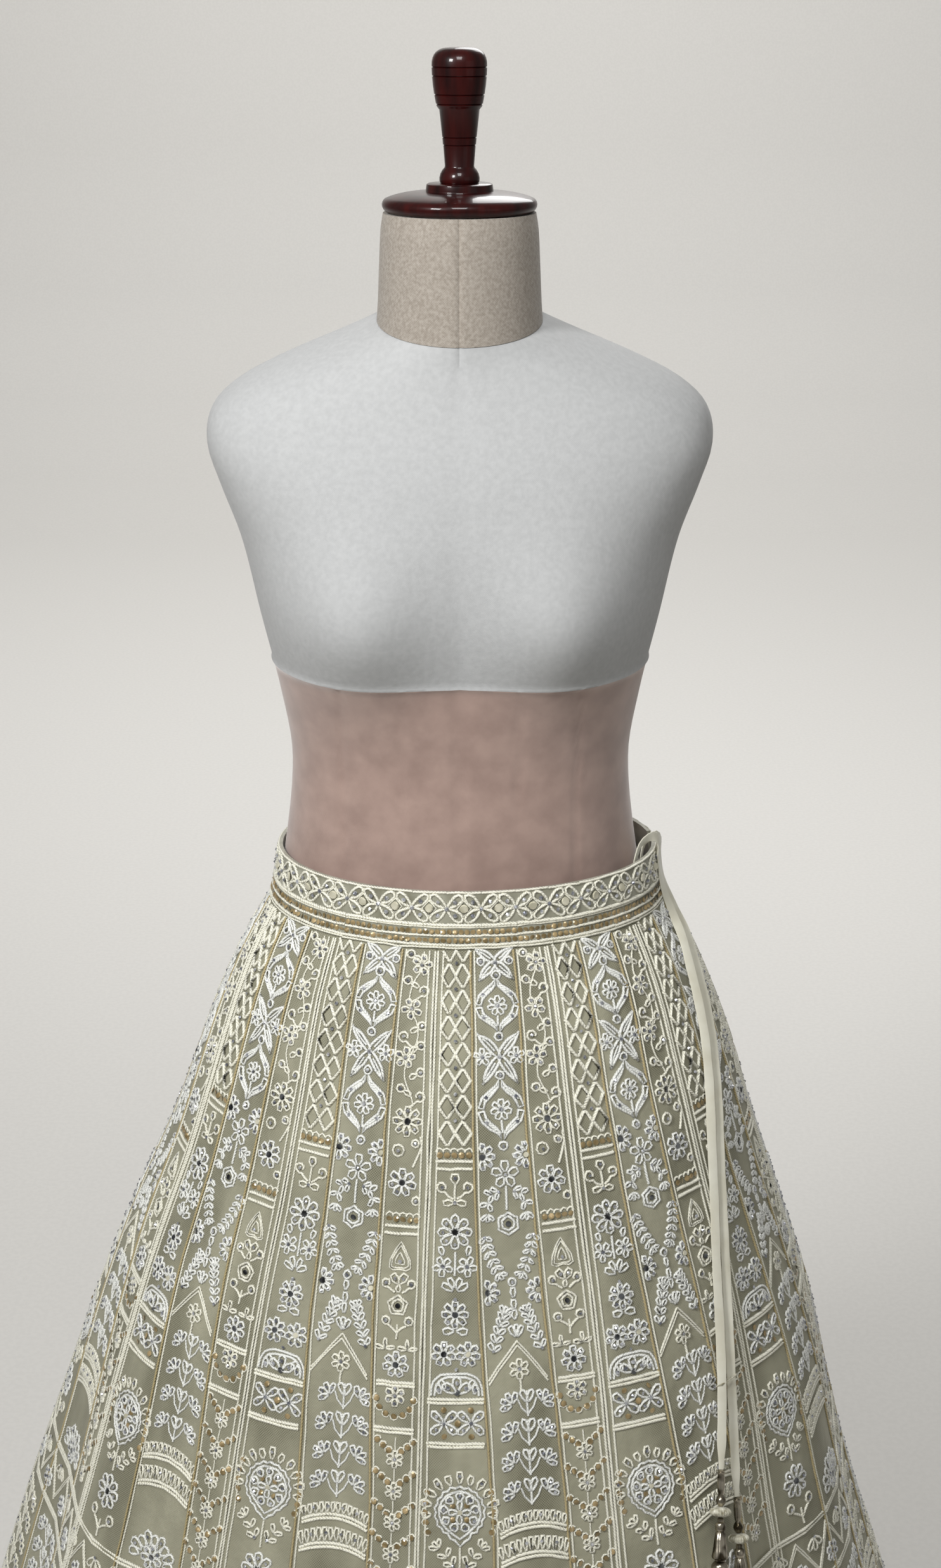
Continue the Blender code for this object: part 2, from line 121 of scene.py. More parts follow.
class Drift(NamedTuple):
    """How many kalis the seams drift from an even spacing at a height."""

    height: float
    kalis: float


class FormSection(NamedTuple):
    """A section of the dress form. Tilt is its rise towards the back and power how square it is."""

    height: float
    half_width: float
    front: float
    back: float
    tilt: float
    power: float


class Turn(NamedTuple):
    """A row of a turned profile."""

    along: float
    radius: float


def turns(*rows: tuple[float, float]) -> tuple[Turn, ...]:
    """A turned profile from rows of distance along the axis and radius in millimetres."""
    return tuple(Turn(along * MM, radius * MM) for along, radius in rows)


class Route(NamedTuple):
    """A point of a tie's route: angle round the garment, height and distance out from the cloth."""

    degrees: float
    height: float
    out: float


SKIRT_SECTIONS = (
    Section(HEM_Z, 0.46, 0.455, 0.428, 0.432),
    Section(0.15, 0.436, 0.419, 0.396, 0.401),
    Section(0.3, 0.402, 0.376, 0.358, 0.364),
    Section(0.45, 0.359, 0.331, 0.318, 0.325),
    Section(0.55, 0.326, 0.306, 0.287, 0.295),
    Section(0.64, 0.296, 0.285, 0.256, 0.266),
    Section(0.73, 0.261, 0.256, 0.222, 0.234),
    Section(0.81, 0.225, 0.229, 0.193, 0.206),
    Section(0.86, 0.206, 0.214, 0.174, 0.187),
    Section(0.91, 0.187, 0.196, 0.153, 0.166),
    Section(0.96, 0.164, 0.174, 0.13, 0.141),
    Section(BAND_BOTTOM_Z, WAIST_LEFT, 0.154, 0.112, 0.12),
    Section(1.016, 0.139, 0.149, 0.107, 0.114),
    Section(BAND_TOP_Z, 0.136, 0.146, 0.104, 0.11),
)
FLUTES = (
    Flute(0, 11, 0.013, 0.78),
    Flute(19, 8, -0.016, 0.74),
    Flute(36, 9, 0.022, 0.92),
    Flute(49, 7, -0.024, 0.9),
    Flute(65, 10, 0.018, 0.84),
    Flute(85, 8, -0.02, 0.76),
    Flute(104, 11, 0.018, 0.82),
    Flute(125, 9, -0.024, 0.86),
    Flute(145, 11, 0.02, 0.8),
    Flute(166, 8, -0.019, 0.72),
    Flute(186, 12, 0.022, 0.84),
    Flute(208, 9, -0.025, 0.88),
    Flute(229, 11, 0.018, 0.8),
    Flute(249, 8, -0.018, 0.74),
    Flute(268, 11, 0.017, 0.82),
    Flute(287, 8, -0.022, 0.86),
    Flute(305, 9, 0.02, 0.88),
    Flute(317, 7, -0.018, 0.76),
    Flute(332, 9, 0.015, 0.8),
    Flute(346, 7, -0.018, 0.8),
)
SEAM_DRIFT = (
    Drift(HEM_Z, -0.1),
    Drift(0.45, -0.1),
    Drift(0.62, -0.08),
    Drift(0.75, 0.00),
    Drift(0.85, 0.03),
    Drift(0.9, 0.07),
    Drift(0.95, 0.17),
    Drift(BAND_BOTTOM_Z, 0.26),
    Drift(BAND_TOP_Z, 0.26),
)
FORM_SECTIONS = (
    FormSection(FORM_BOTTOM_Z, 0.152, 0.1, 0.112, 0.0, 2.2),
    FormSection(0.795, 0.16, 0.106, 0.12, 0.0, 2.2),
    FormSection(0.85, 0.163, 0.108, 0.123, 0.0, 2.2),
    FormSection(0.9, 0.16, 0.107, 0.12, 0.0, 2.2),
    FormSection(0.95, 0.152, 0.103, 0.113, 0.0, 2.1),
    FormSection(BAND_BOTTOM_Z, HIP_REACH, 0.096, 0.104, 0.0, 2.0),
    FormSection(1.035, 0.1325, 0.09, 0.094, 0.0, 2.0),
    FormSection(WAIST_Z, 0.125, 0.086, 0.085, 0.0, 2.2),
    FormSection(1.16, 0.132, 0.091, 0.089, 0.0, 2.3),
    FormSection(1.22, 0.145, 0.098, 0.095, 0.0, 2.4),
    FormSection(1.275, 0.157, 0.099, 0.099, 0.0, 2.4),
    FormSection(1.315, 0.171, 0.092, 0.096, 0.02, 2.5),
    FormSection(SHOULDER_Z, 0.179, 0.083, 0.09, 0.04, 2.5),
    FormSection(1.366, 0.175, 0.073, 0.083, 0.07, 2.4),
    FormSection(1.383, 0.157, 0.066, 0.077, 0.1, 2.3),
    FormSection(1.398, 0.126, 0.061, 0.071, 0.14, 2.2),
    FormSection(1.411, 0.092, 0.058, 0.065, 0.18, 2.1),
    FormSection(1.4205, 0.069, 0.057, 0.06, 0.2, 2.0),
    FormSection(NECK_SEAM_Z - SEAM_GAP, 0.0575, 0.0565, 0.057, 0.207, 2.0),
)
NECK_SECTIONS = (
    FormSection(NECK_SEAM_Z, 0.058, 0.057, 0.0575, 0.207, 2.0),
    FormSection(1.44, 0.057, 0.056, 0.0565, 0.15, 2.0),
    FormSection(1.465, 0.0558, 0.055, 0.0555, 0.06, 2.0),
    FormSection(1.488, 0.0545, 0.054, 0.0545, 0.01, 2.0),
    FormSection(NECK_TOP_Z, 0.0528, 0.0525, 0.0528, 0.0, 2.0),
)
FIRST_TIE = (
    Route(64.0, 1.018, -0.0058),
    Route(67.5, 1.0335, -0.006),
    Route(71.5, 1.045, -0.0045),
    Route(75.5, 1.049, 0.001),
    Route(79.0, 1.044, 0.0048),
    Route(80.6, 1.03, 0.0038),
    Route(80.8, 1.008, 0.0035),
    Route(79.2, 0.986, 0.004),
    Route(75.4, 0.97, 0.0042),
    Route(70.9, 0.95, 0.0042),
    Route(67.8, 0.928, 0.0042),
    Route(64.8, 0.905, 0.0042),
    Route(61.5, 0.882, 0.0042),
    Route(58.9, 0.862, 0.0042),
    Route(56.6, 0.842, 0.0042),
    Route(53.0, 0.8, 0.0042),
    Route(49.2, 0.755, 0.0046),
    Route(45.7, 0.71, 0.006),
    Route(42.2, 0.672, 0.0084),
    Route(38.7, 0.627, 0.0104),
)
SECOND_TIE = (
    Route(69.5, 1.016, -0.006),
    Route(73.0, 1.03, -0.0062),
    Route(77.0, 1.042, -0.0048),
    Route(81.0, 1.046, 0.001),
    Route(84.5, 1.041, 0.0048),
    Route(86.4, 1.028, 0.0038),
    Route(86.6, 1.008, 0.0035),
    Route(84.8, 0.986, 0.004),
    Route(80.6, 0.968, 0.0042),
    Route(75.8, 0.948, 0.0042),
    Route(71.9, 0.924, 0.0042),
    Route(68.3, 0.901, 0.0042),
    Route(64.6, 0.878, 0.0042),
    Route(61.8, 0.858, 0.0042),
    Route(59.4, 0.838, 0.0042),
    Route(55.5, 0.798, 0.0042),
    Route(51.7, 0.752, 0.0044),
    Route(48.3, 0.706, 0.0052),
    Route(45.2, 0.666, 0.0064),
    Route(41.3, 0.6, 0.0086),
)


def smooth_at(rows: Sequence[tuple], place: float) -> list[float]:
    """Reads a table's other columns at a place along its first, on a smooth curve through its rows.

    Args:
        rows: The table, sorted by its first column.
        place: The value of the first column to read at.

    Returns:
        The other columns' values there.
    """
    last = len(rows) - 1
    upper = next((k for k in range(1, last) if rows[k][0] > place), last)
    here, there = rows[upper - 1], rows[upper]
    before, after = rows[max(upper - 2, 0)], rows[min(upper + 1, last)]
    span = there[0] - here[0]
    share = (place - here[0]) / span
    square, cube = share**2, share**3
    values = []
    for p0, p1, p2, p3 in zip(before[1:], here[1:], there[1:], after[1:]):
        leaving = (p2 - p0) / (there[0] - before[0]) * span
        arriving = (p3 - p1) / (after[0] - here[0]) * span
        value = (2 * cube - 3 * square + 1) * p1 + (cube - 2 * square + share) * leaving
        values.append(value + (3 * square - 2 * cube) * p2 + (cube - square) * arriving)
    return values


def smooth_step(share: float) -> float:
    """A share from 0 to 1 with level ends."""
    share = min(1.0, max(0.0, share))
    return share * share * (3 - 2 * share)


def unit(vectors: np.ndarray) -> np.ndarray:
    """The same directions at length one."""
    return vectors / np.maximum(np.linalg.norm(vectors, axis=-1, keepdims=True), 1e-9)


# The garment's surface


@dataclass
class GarmentSurface:
    """The outer face of the cloth, read by kali and height or by angle and height."""

    levels: int = 330
    columns: int = 1440
    heights: np.ndarray = field(init=False)
    points: np.ndarray = field(init=False)
    normals: np.ndarray = field(init=False)
    girths: np.ndarray = field(init=False)
    drift: np.ndarray = field(init=False)
    angle_shares: np.ndarray = field(init=False)
    drops: np.ndarray = field(init=False)

    def __post_init__(self) -> None:
        """Works out the grid of points by level and by share of the girth."""
        self.heights = np.linspace(HEM_Z, BAND_TOP_Z, self.levels)
        degrees = np.linspace(0, 360, self.columns + 1)
        shares = np.linspace(0, 1, self.columns + 1)
        self.points = np.zeros((self.levels, self.columns + 1, 3))
        self.girths = np.zeros(self.levels)
        self.angle_shares = np.zeros((self.levels, self.columns + 1))
        self.drift = np.array([smooth_at(SEAM_DRIFT, z)[0] for z in self.heights])
        for level, height in enumerate(self.heights):
            outline = self.outline(degrees, height)
            steps = np.linalg.norm(np.diff(outline, axis=0), axis=1)
            run = np.concatenate(([0.0], np.cumsum(steps)))
            self.girths[level] = run[-1]
            self.angle_shares[level] = run / run[-1]
            for axis in range(2):
                self.points[level, :, axis] = np.interp(shares, run / run[-1], outline[:, axis])
            self.points[level, :, 2] = height
        along = np.gradient(self.points, axis=1)
        along[:, 0] = along[:, -1] = self.points[:, 1] - self.points[:, -2]
        up = np.gradient(self.points, axis=0)
        self.normals = unit(np.cross(along, up))
        self.drops = self.drop_table()

    def outline(self, degrees: np.ndarray, height: float) -> np.ndarray:
        """The outline's x and y at one height.

        Args:
            degrees: Angles from the front towards the right of the front view.
            height: The level.

        Returns:
            One row of x and y for each angle.
        """
        left, right, front, back = smooth_at(SKIRT_SECTIONS, height)
        turn = np.radians(degrees)
        side, ahead = np.sin(turn), np.cos(turn)
        moved = np.zeros_like(side)
        for flute in FLUTES:
            if height < flute.starts_at:
                away = (degrees - flute.degrees + 180) % 360 - 180
                fall = (flute.starts_at - height) / (flute.starts_at - HEM_Z)
                moved += flute.depth * smooth_step(fall) * np.exp(-((away / flute.spread) ** 2))
        x = side * np.where(side > 0, right, left) + side * moved
        y = -ahead * np.where(ahead > 0, front, back) - ahead * moved
        return np.stack([x, y], axis=1)

    def drop_table(self) -> np.ndarray:
        """How far down the cloth each level lies at the centre front.

        Returns:
            Millimetres from the band's lower edge.
        """
        reach = np.array([smooth_at(SKIRT_SECTIONS, z)[2] for z in self.heights])
        steps = np.hypot(np.diff(self.heights), np.diff(reach))
        run = np.concatenate(([0.0], np.cumsum(steps)))
        return (np.interp(BAND_BOTTOM_Z, self.heights, run) - run) / MM

    def height_of(self, drop: np.ndarray) -> np.ndarray:
        """The height of a place that many millimetres below the band's lower edge."""
        return np.interp(np.asarray(drop, float), self.drops[::-1], self.heights[::-1])

    def share_of_kali(self, kali: np.ndarray, height: np.ndarray) -> np.ndarray:
        """Where a kali's edge or a place across it lies.

        Args:
            kali: Kali numbers from 0, with the share across as their fraction.
            height: Heights, one for each.

        Returns:
            Shares of the girth from the centre front.
        """
        swing = np.sin(2 * np.pi * (kali - DRIFT_CENTRE) / KALIS)
        drift = np.interp(height, self.heights, self.drift)
        return (kali - FIRST_SEAM_FROM_FRONT + drift * swing) / KALIS

    def at_share(self, share: np.ndarray, height: np.ndarray) -> tuple[np.ndarray, np.ndarray]:
        """Points and outward directions on the cloth.

        Args:
            share: Shares of the girth from the centre front.
            height: Heights, one for each share.

        Returns:
            The points and the outward directions.
        """
        column = (np.asarray(share) % 1.0) * self.columns
        level = (np.asarray(height) - HEM_Z) / (BAND_TOP_Z - HEM_Z) * (self.levels - 1)
        level = np.clip(level, 0, self.levels - 1.001)
        c0, l0 = np.floor(column).astype(int), np.floor(level).astype(int)
        c0 = np.minimum(c0, self.columns - 1)
        fc, fl = (column - c0)[..., None], (level - l0)[..., None]

        def read(grid: np.ndarray) -> np.ndarray:
            """The grid's values between its four nearest places.

            Args:
                grid: Values by level and column.

            Returns:
                The values, one for each share and height.
            """
            low = grid[l0, c0] * (1 - fc) + grid[l0, c0 + 1] * fc
            high = grid[l0 + 1, c0] * (1 - fc) + grid[l0 + 1, c0 + 1] * fc
            return low * (1 - fl) + high * fl

        return read(self.points), unit(read(self.normals))

    def at_kali(self, kali: np.ndarray, height: np.ndarray) -> tuple[np.ndarray, np.ndarray]:
        """Points and outward directions by kali number and height."""
        return self.at_share(self.share_of_kali(kali, height), height)

    def girth_at(self, height: float) -> float:
        """The distance round the cloth at a height."""
        return float(np.interp(height, self.heights, self.girths))

    def share_of_angle(self, degrees: float) -> float:
        """The share of the band's girth at which this angle lies."""
        return float(self.angle_shares[-1][round(degrees / 360 * self.columns)])

    def kali_width(self, drop: np.ndarray) -> np.ndarray:
        """How wide the front kali is.

        Args:
            drop: Millimetres down the cloth.

        Returns:
            Its width in millimetres.
        """
        height = self.height_of(drop)
        edges = self.share_of_kali(1.0, height) - self.share_of_kali(0.0, height)
        return edges * np.interp(height, self.heights, self.girths) / MM


# Finishes


def linear(hex_colour: str) -> tuple[float, float, float, float]:
    """The linear colour of an sRGB hex value.

    Args:
        hex_colour: The value, such as #A0B1C2.

    Returns:
        Its linear red, green and blue, and an opacity of one.
    """
    parts = [int(hex_colour[k : k + 2], 16) / 255 for k in (1, 3, 5)]
    turned = [c / 12.92 if c <= 0.04045 else ((c + 0.055) / 1.055) ** 2.4 for c in parts]
    return (*turned, 1.0)


def feed(node: bpy.types.Node, inputs: dict) -> None:
    """Sets or links a node's inputs.

    Args:
        node: The node.
        inputs: Socket name or number to a value, a socket, or a node that stands for its first output.
    """
    for key, value in inputs.items():
        source = value.outputs[0] if isinstance(value, bpy.types.Node) else value
        if isinstance(source, bpy.types.NodeSocket):
            node.id_data.links.new(source, node.inputs[key])
        else:
            node.inputs[key].default_value = source


def add_node(
    tree: bpy.types.NodeTree, kind: str, inputs: dict | None = None, stops: dict[float, str] | None = None,
    **settings: object,
) -> bpy.types.Node:
    """Adds a node with its settings and its inputs.

    Args:
        tree: The tree to add it to.
        kind: The node's type.
        inputs: What it is fed.
        stops: A colour ramp's two places and their sRGB colours.
        **settings: The node's own properties.

    Returns:
        The node.
    """
    node = tree.nodes.new(kind)
    for name, value in settings.items():
        setattr(node, name, value)
    if stops:
        for element, (place, colour) in zip(node.color_ramp.elements, stops.items()):
            element.position, element.color = place, linear(colour)
    feed(node, inputs or {})
    return node


@dataclass(frozen=True)
class Finish:
    """What every finish has: the material's name, a light and a dark colour, and its surface."""

    name: str
    light: str
    dark: str

    def build(self) -> bpy.types.Material:
        """Makes the material.

        Returns:
            The material.
        """
        material = bpy.data.materials.new(self.name)
        material.use_nodes = True
        tree = material.node_tree
        feed(tree.nodes["Principled BSDF"], self.surface(partial(add_node, tree)))
        return material

    def surface(self, add: Callable[..., bpy.types.Node]) -> dict:
        """What feeds the surface.

        Args:
            add: Adds a node to the material's tree.

        Returns:
            Input names and what goes into them.
        """
        raise NotImplementedError


@dataclass(frozen=True)
class NetOverSatin(Finish):
    """Fine nylon net over dull satin: the net's mesh and the satin's soft sheen both show, over painted shade in
    upright folds.
    """

    name: str = "net_over_satin"
    # The satin's lit colour, and the darker colour of the shade painted into its folds
    light: str = "#A9A68E"
    dark: str = "#67644D"
    net: str = "#A7A591"
    # The net's holes are about 1.2 mm; they are drawn at 1.9 mm so that they show
    hole: float = 0.0019

    def surface(self, add: Callable[..., bpy.types.Node]) -> dict:
        """Satin with painted shade in long upright folds, under crossing net threads, a little puckered."""
        cloth = add("ShaderNodeUVMap", uv_map="Cloth")
        split = add("ShaderNodeSeparateXYZ", {0: cloth})
        diagonals = []
        for operation in ("ADD", "SUBTRACT"):
            both = add("ShaderNodeMath", {0: split.outputs[0], 1: split.outputs[1]}, operation=operation)
            scaled = add("ShaderNodeMath", {0: both, 1: math.pi / self.hole}, operation="MULTIPLY")
            wave = add("ShaderNodeMath", {0: scaled}, operation="SINE")
            diagonals.append(add("ShaderNodeMath", {0: wave}, operation="ABSOLUTE"))
        holes = add("ShaderNodeMath", {0: diagonals[0], 1: diagonals[1]}, operation="MINIMUM")
        edges = {"Value": holes, "From Min": 0.1, "From Max": 0.55, "To Min": 1.0, "To Max": 0.0}
        threads = add("ShaderNodeMapRange", edges)
        place = add("ShaderNodeTexCoord").outputs["Object"]
        # Noise stretched upright paints dark and light streaks on the satin as the shade of soft folds
        drawn = add("ShaderNodeMapping", {"Vector": place, "Scale": (22.0, 22.0, 5.0)})
        painted_fold_shade = add("ShaderNodeTexNoise", {"Vector": drawn, "Scale": 1.0, "Detail": 3.0})
        satin = add("ShaderNodeValToRGB", {"Fac": painted_fold_shade}, {0.35: self.dark, 0.65: self.light})
        colour = add("ShaderNodeMix", {"Factor": threads, 6: satin, 7: linear(self.net)}, data_type="RGBA")
        puckers = add("ShaderNodeTexNoise", {"Vector": place, "Scale": 95.0, "Detail": 2.0})
        bump = add("ShaderNodeBump", {"Height": puckers, "Strength": 0.35, "Distance": 0.003})
        finer = add(
            "ShaderNodeBump", {"Height": threads, "Normal": bump, "Strength": 0.4, "Distance": 0.0004}
        )
        return {
            "Base Color": colour.outputs[2], "Normal": finer, "Roughness": 0.62, "Sheen Weight": 0.12,
            "Sheen Roughness": 0.4,
        }


@dataclass(frozen=True)
class BandSatin(Finish):
    """Heavy ivory satin without net: close, smooth and brighter than the kalis."""

    name: str = "ivory_band_satin"
    # The satin's colour, and the darker colour of the shade painted into its creases
    light: str = "#A3A291"
    dark: str = "#7E7C69"

    def surface(self, add: Callable[..., bpy.types.Node]) -> dict:
        """Faint creases in height, with painted shade in their hollows."""
        place = add("ShaderNodeTexCoord").outputs["Object"]
        creases_and_painted_shade = add("ShaderNodeTexNoise", {"Vector": place, "Scale": 60.0, "Detail": 3.0})
        # Where the creases sink they are painted darker, as shade
        colour = add("ShaderNodeValToRGB", {"Fac": creases_and_painted_shade}, {0.35: self.dark, 0.6: self.light})
        bump = add("ShaderNodeBump", {"Height": creases_and_painted_shade, "Strength": 0.3, "Distance": 0.002})
        return {"Base Color": colour, "Normal": bump, "Roughness": 0.45, "Sheen Weight": 0.3}


@dataclass(frozen=True)
class ChainThread(Finish):
    """Rayon thread worked in chain stitch: plaited loops with a silky light, and painted shade in the gaps between
    them.
    """

    stitch: float = 0.0024
    # How far a stitch's sides trail its middle, in radians of the stitch's wave
    slant: float = 2.2

    def surface(self, add: Callable[..., bpy.types.Node]) -> dict:
        """V-shaped stitches along the thread, a little uneven, with painted shade in the gaps between them."""
        along = add("ShaderNodeAttribute", attribute_name="along").outputs["Fac"]
        across = add("ShaderNodeAttribute", attribute_name="across").outputs["Fac"]
        sideways = add("ShaderNodeMath", {0: across}, operation="ABSOLUTE")
        slant = add("ShaderNodeMath", {0: sideways, 1: self.slant}, operation="MULTIPLY")
        phase = {0: along, 1: math.pi / self.stitch, 2: slant}
        wave = add(
            "ShaderNodeMath", {0: add("ShaderNodeMath", phase, operation="MULTIPLY_ADD")}, operation="SINE"
        )
        stitches = add("ShaderNodeMath", {0: wave}, operation="ABSOLUTE")
        place = add("ShaderNodeTexCoord").outputs["Object"]
        noise = add("ShaderNodeTexNoise", {"Vector": place, "Scale": 260.0, "Detail": 2.0})
        uneven = add("ShaderNodeMath", {0: stitches, 1: 0.7, 2: noise}, operation="MULTIPLY_ADD")
        # The low places between loops take the dark colour: painted shade in the gaps
        colour = add("ShaderNodeValToRGB", {"Fac": uneven}, {0.35: self.dark, 0.8: self.light})
        bump = add("ShaderNodeBump", {"Height": uneven, "Strength": 0.6, "Distance": 0.0006})
        return {"Base Color": colour, "Normal": bump, "Roughness": 0.42, "Sheen Weight": 0.3}


@dataclass(frozen=True)
class Spark(Finish):
    """A sequin, stone, mirror or metal piece: a hard bright surface, a little uneven in colour."""

    roughness: float
    metallic: float
    coat: float = 0.0

    def surface(self, add: Callable[..., bpy.types.Node]) -> dict:
        """A colour that changes a little from piece to piece."""
        place = add("ShaderNodeTexCoord").outputs["Object"]
        noise = add("ShaderNodeTexNoise", {"Vector": place, "Scale": 140.0, "Detail": 1.0})
        colour = add("ShaderNodeValToRGB", {"Fac": noise}, {0.38: self.dark, 0.62: self.light})
        return {
            "Base Color": colour, "Roughness": self.roughness, "Metallic": self.metallic,
            "Coat Weight": self.coat,
        }


@dataclass(frozen=True)
class Woven(Finish):
    """A plain woven or felted cloth: crossing threads, a mottled colour and no shine."""

    pitch: float
    mottle: float
    roughness: float = 0.85
    sheen: float = 0.15

    def surface(self, add: Callable[..., bpy.types.Node]) -> dict:
        """Crossing threads over soft patches."""
        place = add("ShaderNodeTexCoord").outputs["Object"]
        split = add("ShaderNodeSeparateXYZ", {0: place})
        waves = []
        for axis in (0, 2):
            turns = {0: split.outputs[axis], 1: 2 * math.pi / self.pitch}
            scaled = add("ShaderNodeMath", turns, operation="MULTIPLY")
            waves.append(add("ShaderNodeMath", {0: scaled}, operation="SINE"))
        weave = add("ShaderNodeMath", {0: waves[0], 1: waves[1]}, operation="MULTIPLY")
        patches = add("ShaderNodeTexNoise", {"Vector": place, "Scale": 1 / self.mottle, "Detail": 4.0})
        mixed = add("ShaderNodeMath", {0: weave, 1: 0.1, 2: patches}, operation="MULTIPLY_ADD")
        colour = add("ShaderNodeValToRGB", {"Fac": mixed}, {0.3: self.dark, 0.7: self.light})
        bump = add("ShaderNodeBump", {"Height": mixed, "Strength": 0.35, "Distance": 0.0005})
        return {"Base Color": colour, "Normal": bump, "Roughness": self.roughness, "Sheen Weight": self.sheen}


@dataclass(frozen=True)
class Lacquer(Finish):
    """Mahogany under clear gloss lacquer: a dark red grain under a sharp shine."""

    name: str = "lacquered_mahogany"
    light: str = "#360A08"
    dark: str = "#170404"

    def surface(self, add: Callable[..., bpy.types.Node]) -> dict:
        """Upright grain under a clear coat."""
        place = add("ShaderNodeTexCoord").outputs["Object"]
        drawn = add("ShaderNodeMapping", {"Vector": place, "Scale": (120.0, 120.0, 9.0)})
        grain = add("ShaderNodeTexNoise", {"Vector": drawn, "Scale": 1.0, "Detail": 5.0})
        colour = add("ShaderNodeValToRGB", {"Fac": grain}, {0.32: self.dark, 0.7: self.light})
        return {
            "Base Color": colour, "Roughness": 0.35, "Specular IOR Level": 0.12, "Coat Weight": 0.4,
            "Coat Roughness": 0.05,
        }


@dataclass(frozen=True)
class Finishes:
    """Every finish of the garment, its form and its stand."""

    cloth: Finish = NetOverSatin()
    band: Finish = BandSatin()
    # Three threads in one stitch: warm, cool and dull metallic; each dark colour is painted shade between stitches
    ivory: Finish = ChainThread("ivory_rayon_thread", "#FBF9E8", "#8C866C")
    silver: Finish = ChainThread("silver_white_thread", "#FAFBF5", "#888A82")
    gold: Finish = ChainThread("dull_gold_thread", "#B9A97C", "#857A58")
    # Folded satin shines along its length; canvas is chalky, jersey soft, felt flecked
    tie: Finish = Woven("satin_tie", "#E8E6D6", "#D6D2BE", 0.0009, 0.02, roughness=0.45, sheen=0.4)
    canvas: Finish = Woven("form_canvas", "#B4B5B5", "#ABACAC", 0.0013, 0.004)
    jersey: Finish = Woven("rose_jersey", "#B0968B", "#9B8278", 0.001, 0.02, roughness=0.55, sheen=0.5)
    felt: Finish = Woven("neck_felt", "#A69E94", "#8A8176", 0.0016, 0.0022)
    lacquer: Finish = Lacquer()
    # Lacquered film glints softly, foiled glass sharply, mirror glass shows the room, pale glass glows
    sequin: Finish = Spark("champagne_sequin", "#B8A176", "#82704A", 0.26, 0.2, 0.6)
    stone: Finish = Spark("foiled_glass_stone", "#F0F2F8", "#8B8E99", 0.12, 0.8)
    mirror: Finish = Spark("mirror_glass", "#8E9194", "#3B3C3E", 0.06, 0.85)
    pearl: Finish = Spark("pale_glass", "#E6E2CC", "#C8C4AC", 0.16, 0.2, 0.8)
    # Cast and blackened in its hollows, drawn and brushed, painted flat
    metal: Finish = Spark("antique_silver_gilt", "#B5AD9C", "#4A4335", 0.24, 1.0)
    steel: Finish = Spark("brushed_steel", "#B9B9BB", "#98989B", 0.35, 1.0)
    floor: Finish = Spark("matt_floor", "#D8D6D2", "#D5D3CF", 0.9, 0.0)


@dataclass
class Wardrobe:
    """Builds each finish once and hands out its material."""

    finishes: Finishes = field(default_factory=Finishes)
    made: dict[str, bpy.types.Material] = field(default_factory=dict)

    def get(self, name: str) -> bpy.types.Material:
        """The material of the finish with this field name.

        Args:
            name: The field name in the finishes.

        Returns:
            The material.
        """
        if name not in self.made:
            self.made[name] = getattr(self.finishes, name).build()
        return self.made[name]


# Meshes


def mesh_object(
    name: str, vertices: Sequence, faces: Sequence, materials: Sequence[bpy.types.Material]
) -> bpy.types.Object:
    """A mesh object with smooth faces that point outwards.

    Args:
        name: The piece's name.
        vertices: Its points.
        faces: Its faces as rows of point numbers.
        materials: Its material slots.

    Returns:
        The object, linked to the scene.
    """
    mesh = bpy.data.meshes.new(name)
    mesh.from_pydata([tuple(v) for v in vertices], [], [list(f) for f in faces])
    work = bmesh.new()
    work.from_mesh(mesh)
    bmesh.ops.recalc_face_normals(work, faces=work.faces)
    work.to_mesh(mesh)
    work.free()
    mesh.shade_smooth()
    mesh.set_sharp_from_angle(angle=math.radians(SHARP_DEGREES))
    made = bpy.data.objects.new(name, mesh)
    bpy.context.scene.collection.objects.link(made)
    for material in materials:
        mesh.materials.append(material)
    return made


def ring_faces(rings: int, sides: int, closed_ends: bool = True) -> list[list[int]]:
    """Faces round the rings of a tube.

    Args:
        rings: How many rings there are.
        sides: How many points a ring has.
        closed_ends: Whether each end has a face.

    Returns:
        The faces as rows of point numbers.
    """
    faces = []
    for ring in range(rings - 1):
        low, high = ring * sides, (ring + 1) * sides
        for k in range(sides):
            after = (k + 1) % sides
            faces.append([low + k, low + after, high + after, high + k])
    if closed_ends:
        faces.append(list(range(sides)))
        faces.append([(rings - 1) * sides + k for k in range(sides)])
    return faces


def turned_rings(
    profile: Sequence[Turn], sides: int, placed: Matrix, shape: Callable[[float, float], float] | None = None
) -> list[Vector]:
    """The points of a turned piece.

    Args:
        profile: Its rows of distance along the axis and radius.
        sides: How many points a ring has.
        placed: Where it stands.
        shape: An optional factor on the radius by angle and distance.

    Returns:
        Its points, ring by ring.
    """
    points = []
    for along, radius in profile:
        for k in range(sides):
            turn = 2 * math.pi * k / sides
            reach = radius * (shape(turn, along) if shape else 1.0)
            points.append(placed @ Vector((reach * math.cos(turn), reach * math.sin(turn), along)))
    return points


def finish_piece(
    piece: bpy.types.Object, replaces: Sequence[str] = ()
) -> bpy.types.Object:
    """Fixes a piece to the body and hides the solids that it stands for.

    Args:
        piece: The piece.
        replaces: The solids' names.

    Returns:
        The piece.
    """
    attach(piece, BODY)
    if replaces:
        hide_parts(*replaces)
    return piece


# Embroidery: what is laid out flat


class Thread(IntEnum):
    """The threads that the embroidery is worked in."""

    IVORY = 0
    SILVER = 1
    GOLD = 2


class Spangle(IntEnum):
    """What is sewn on among the stitches."""

    SEQUIN = 0
    STONE = 1
    MIRROR = 2
    PEARL = 3


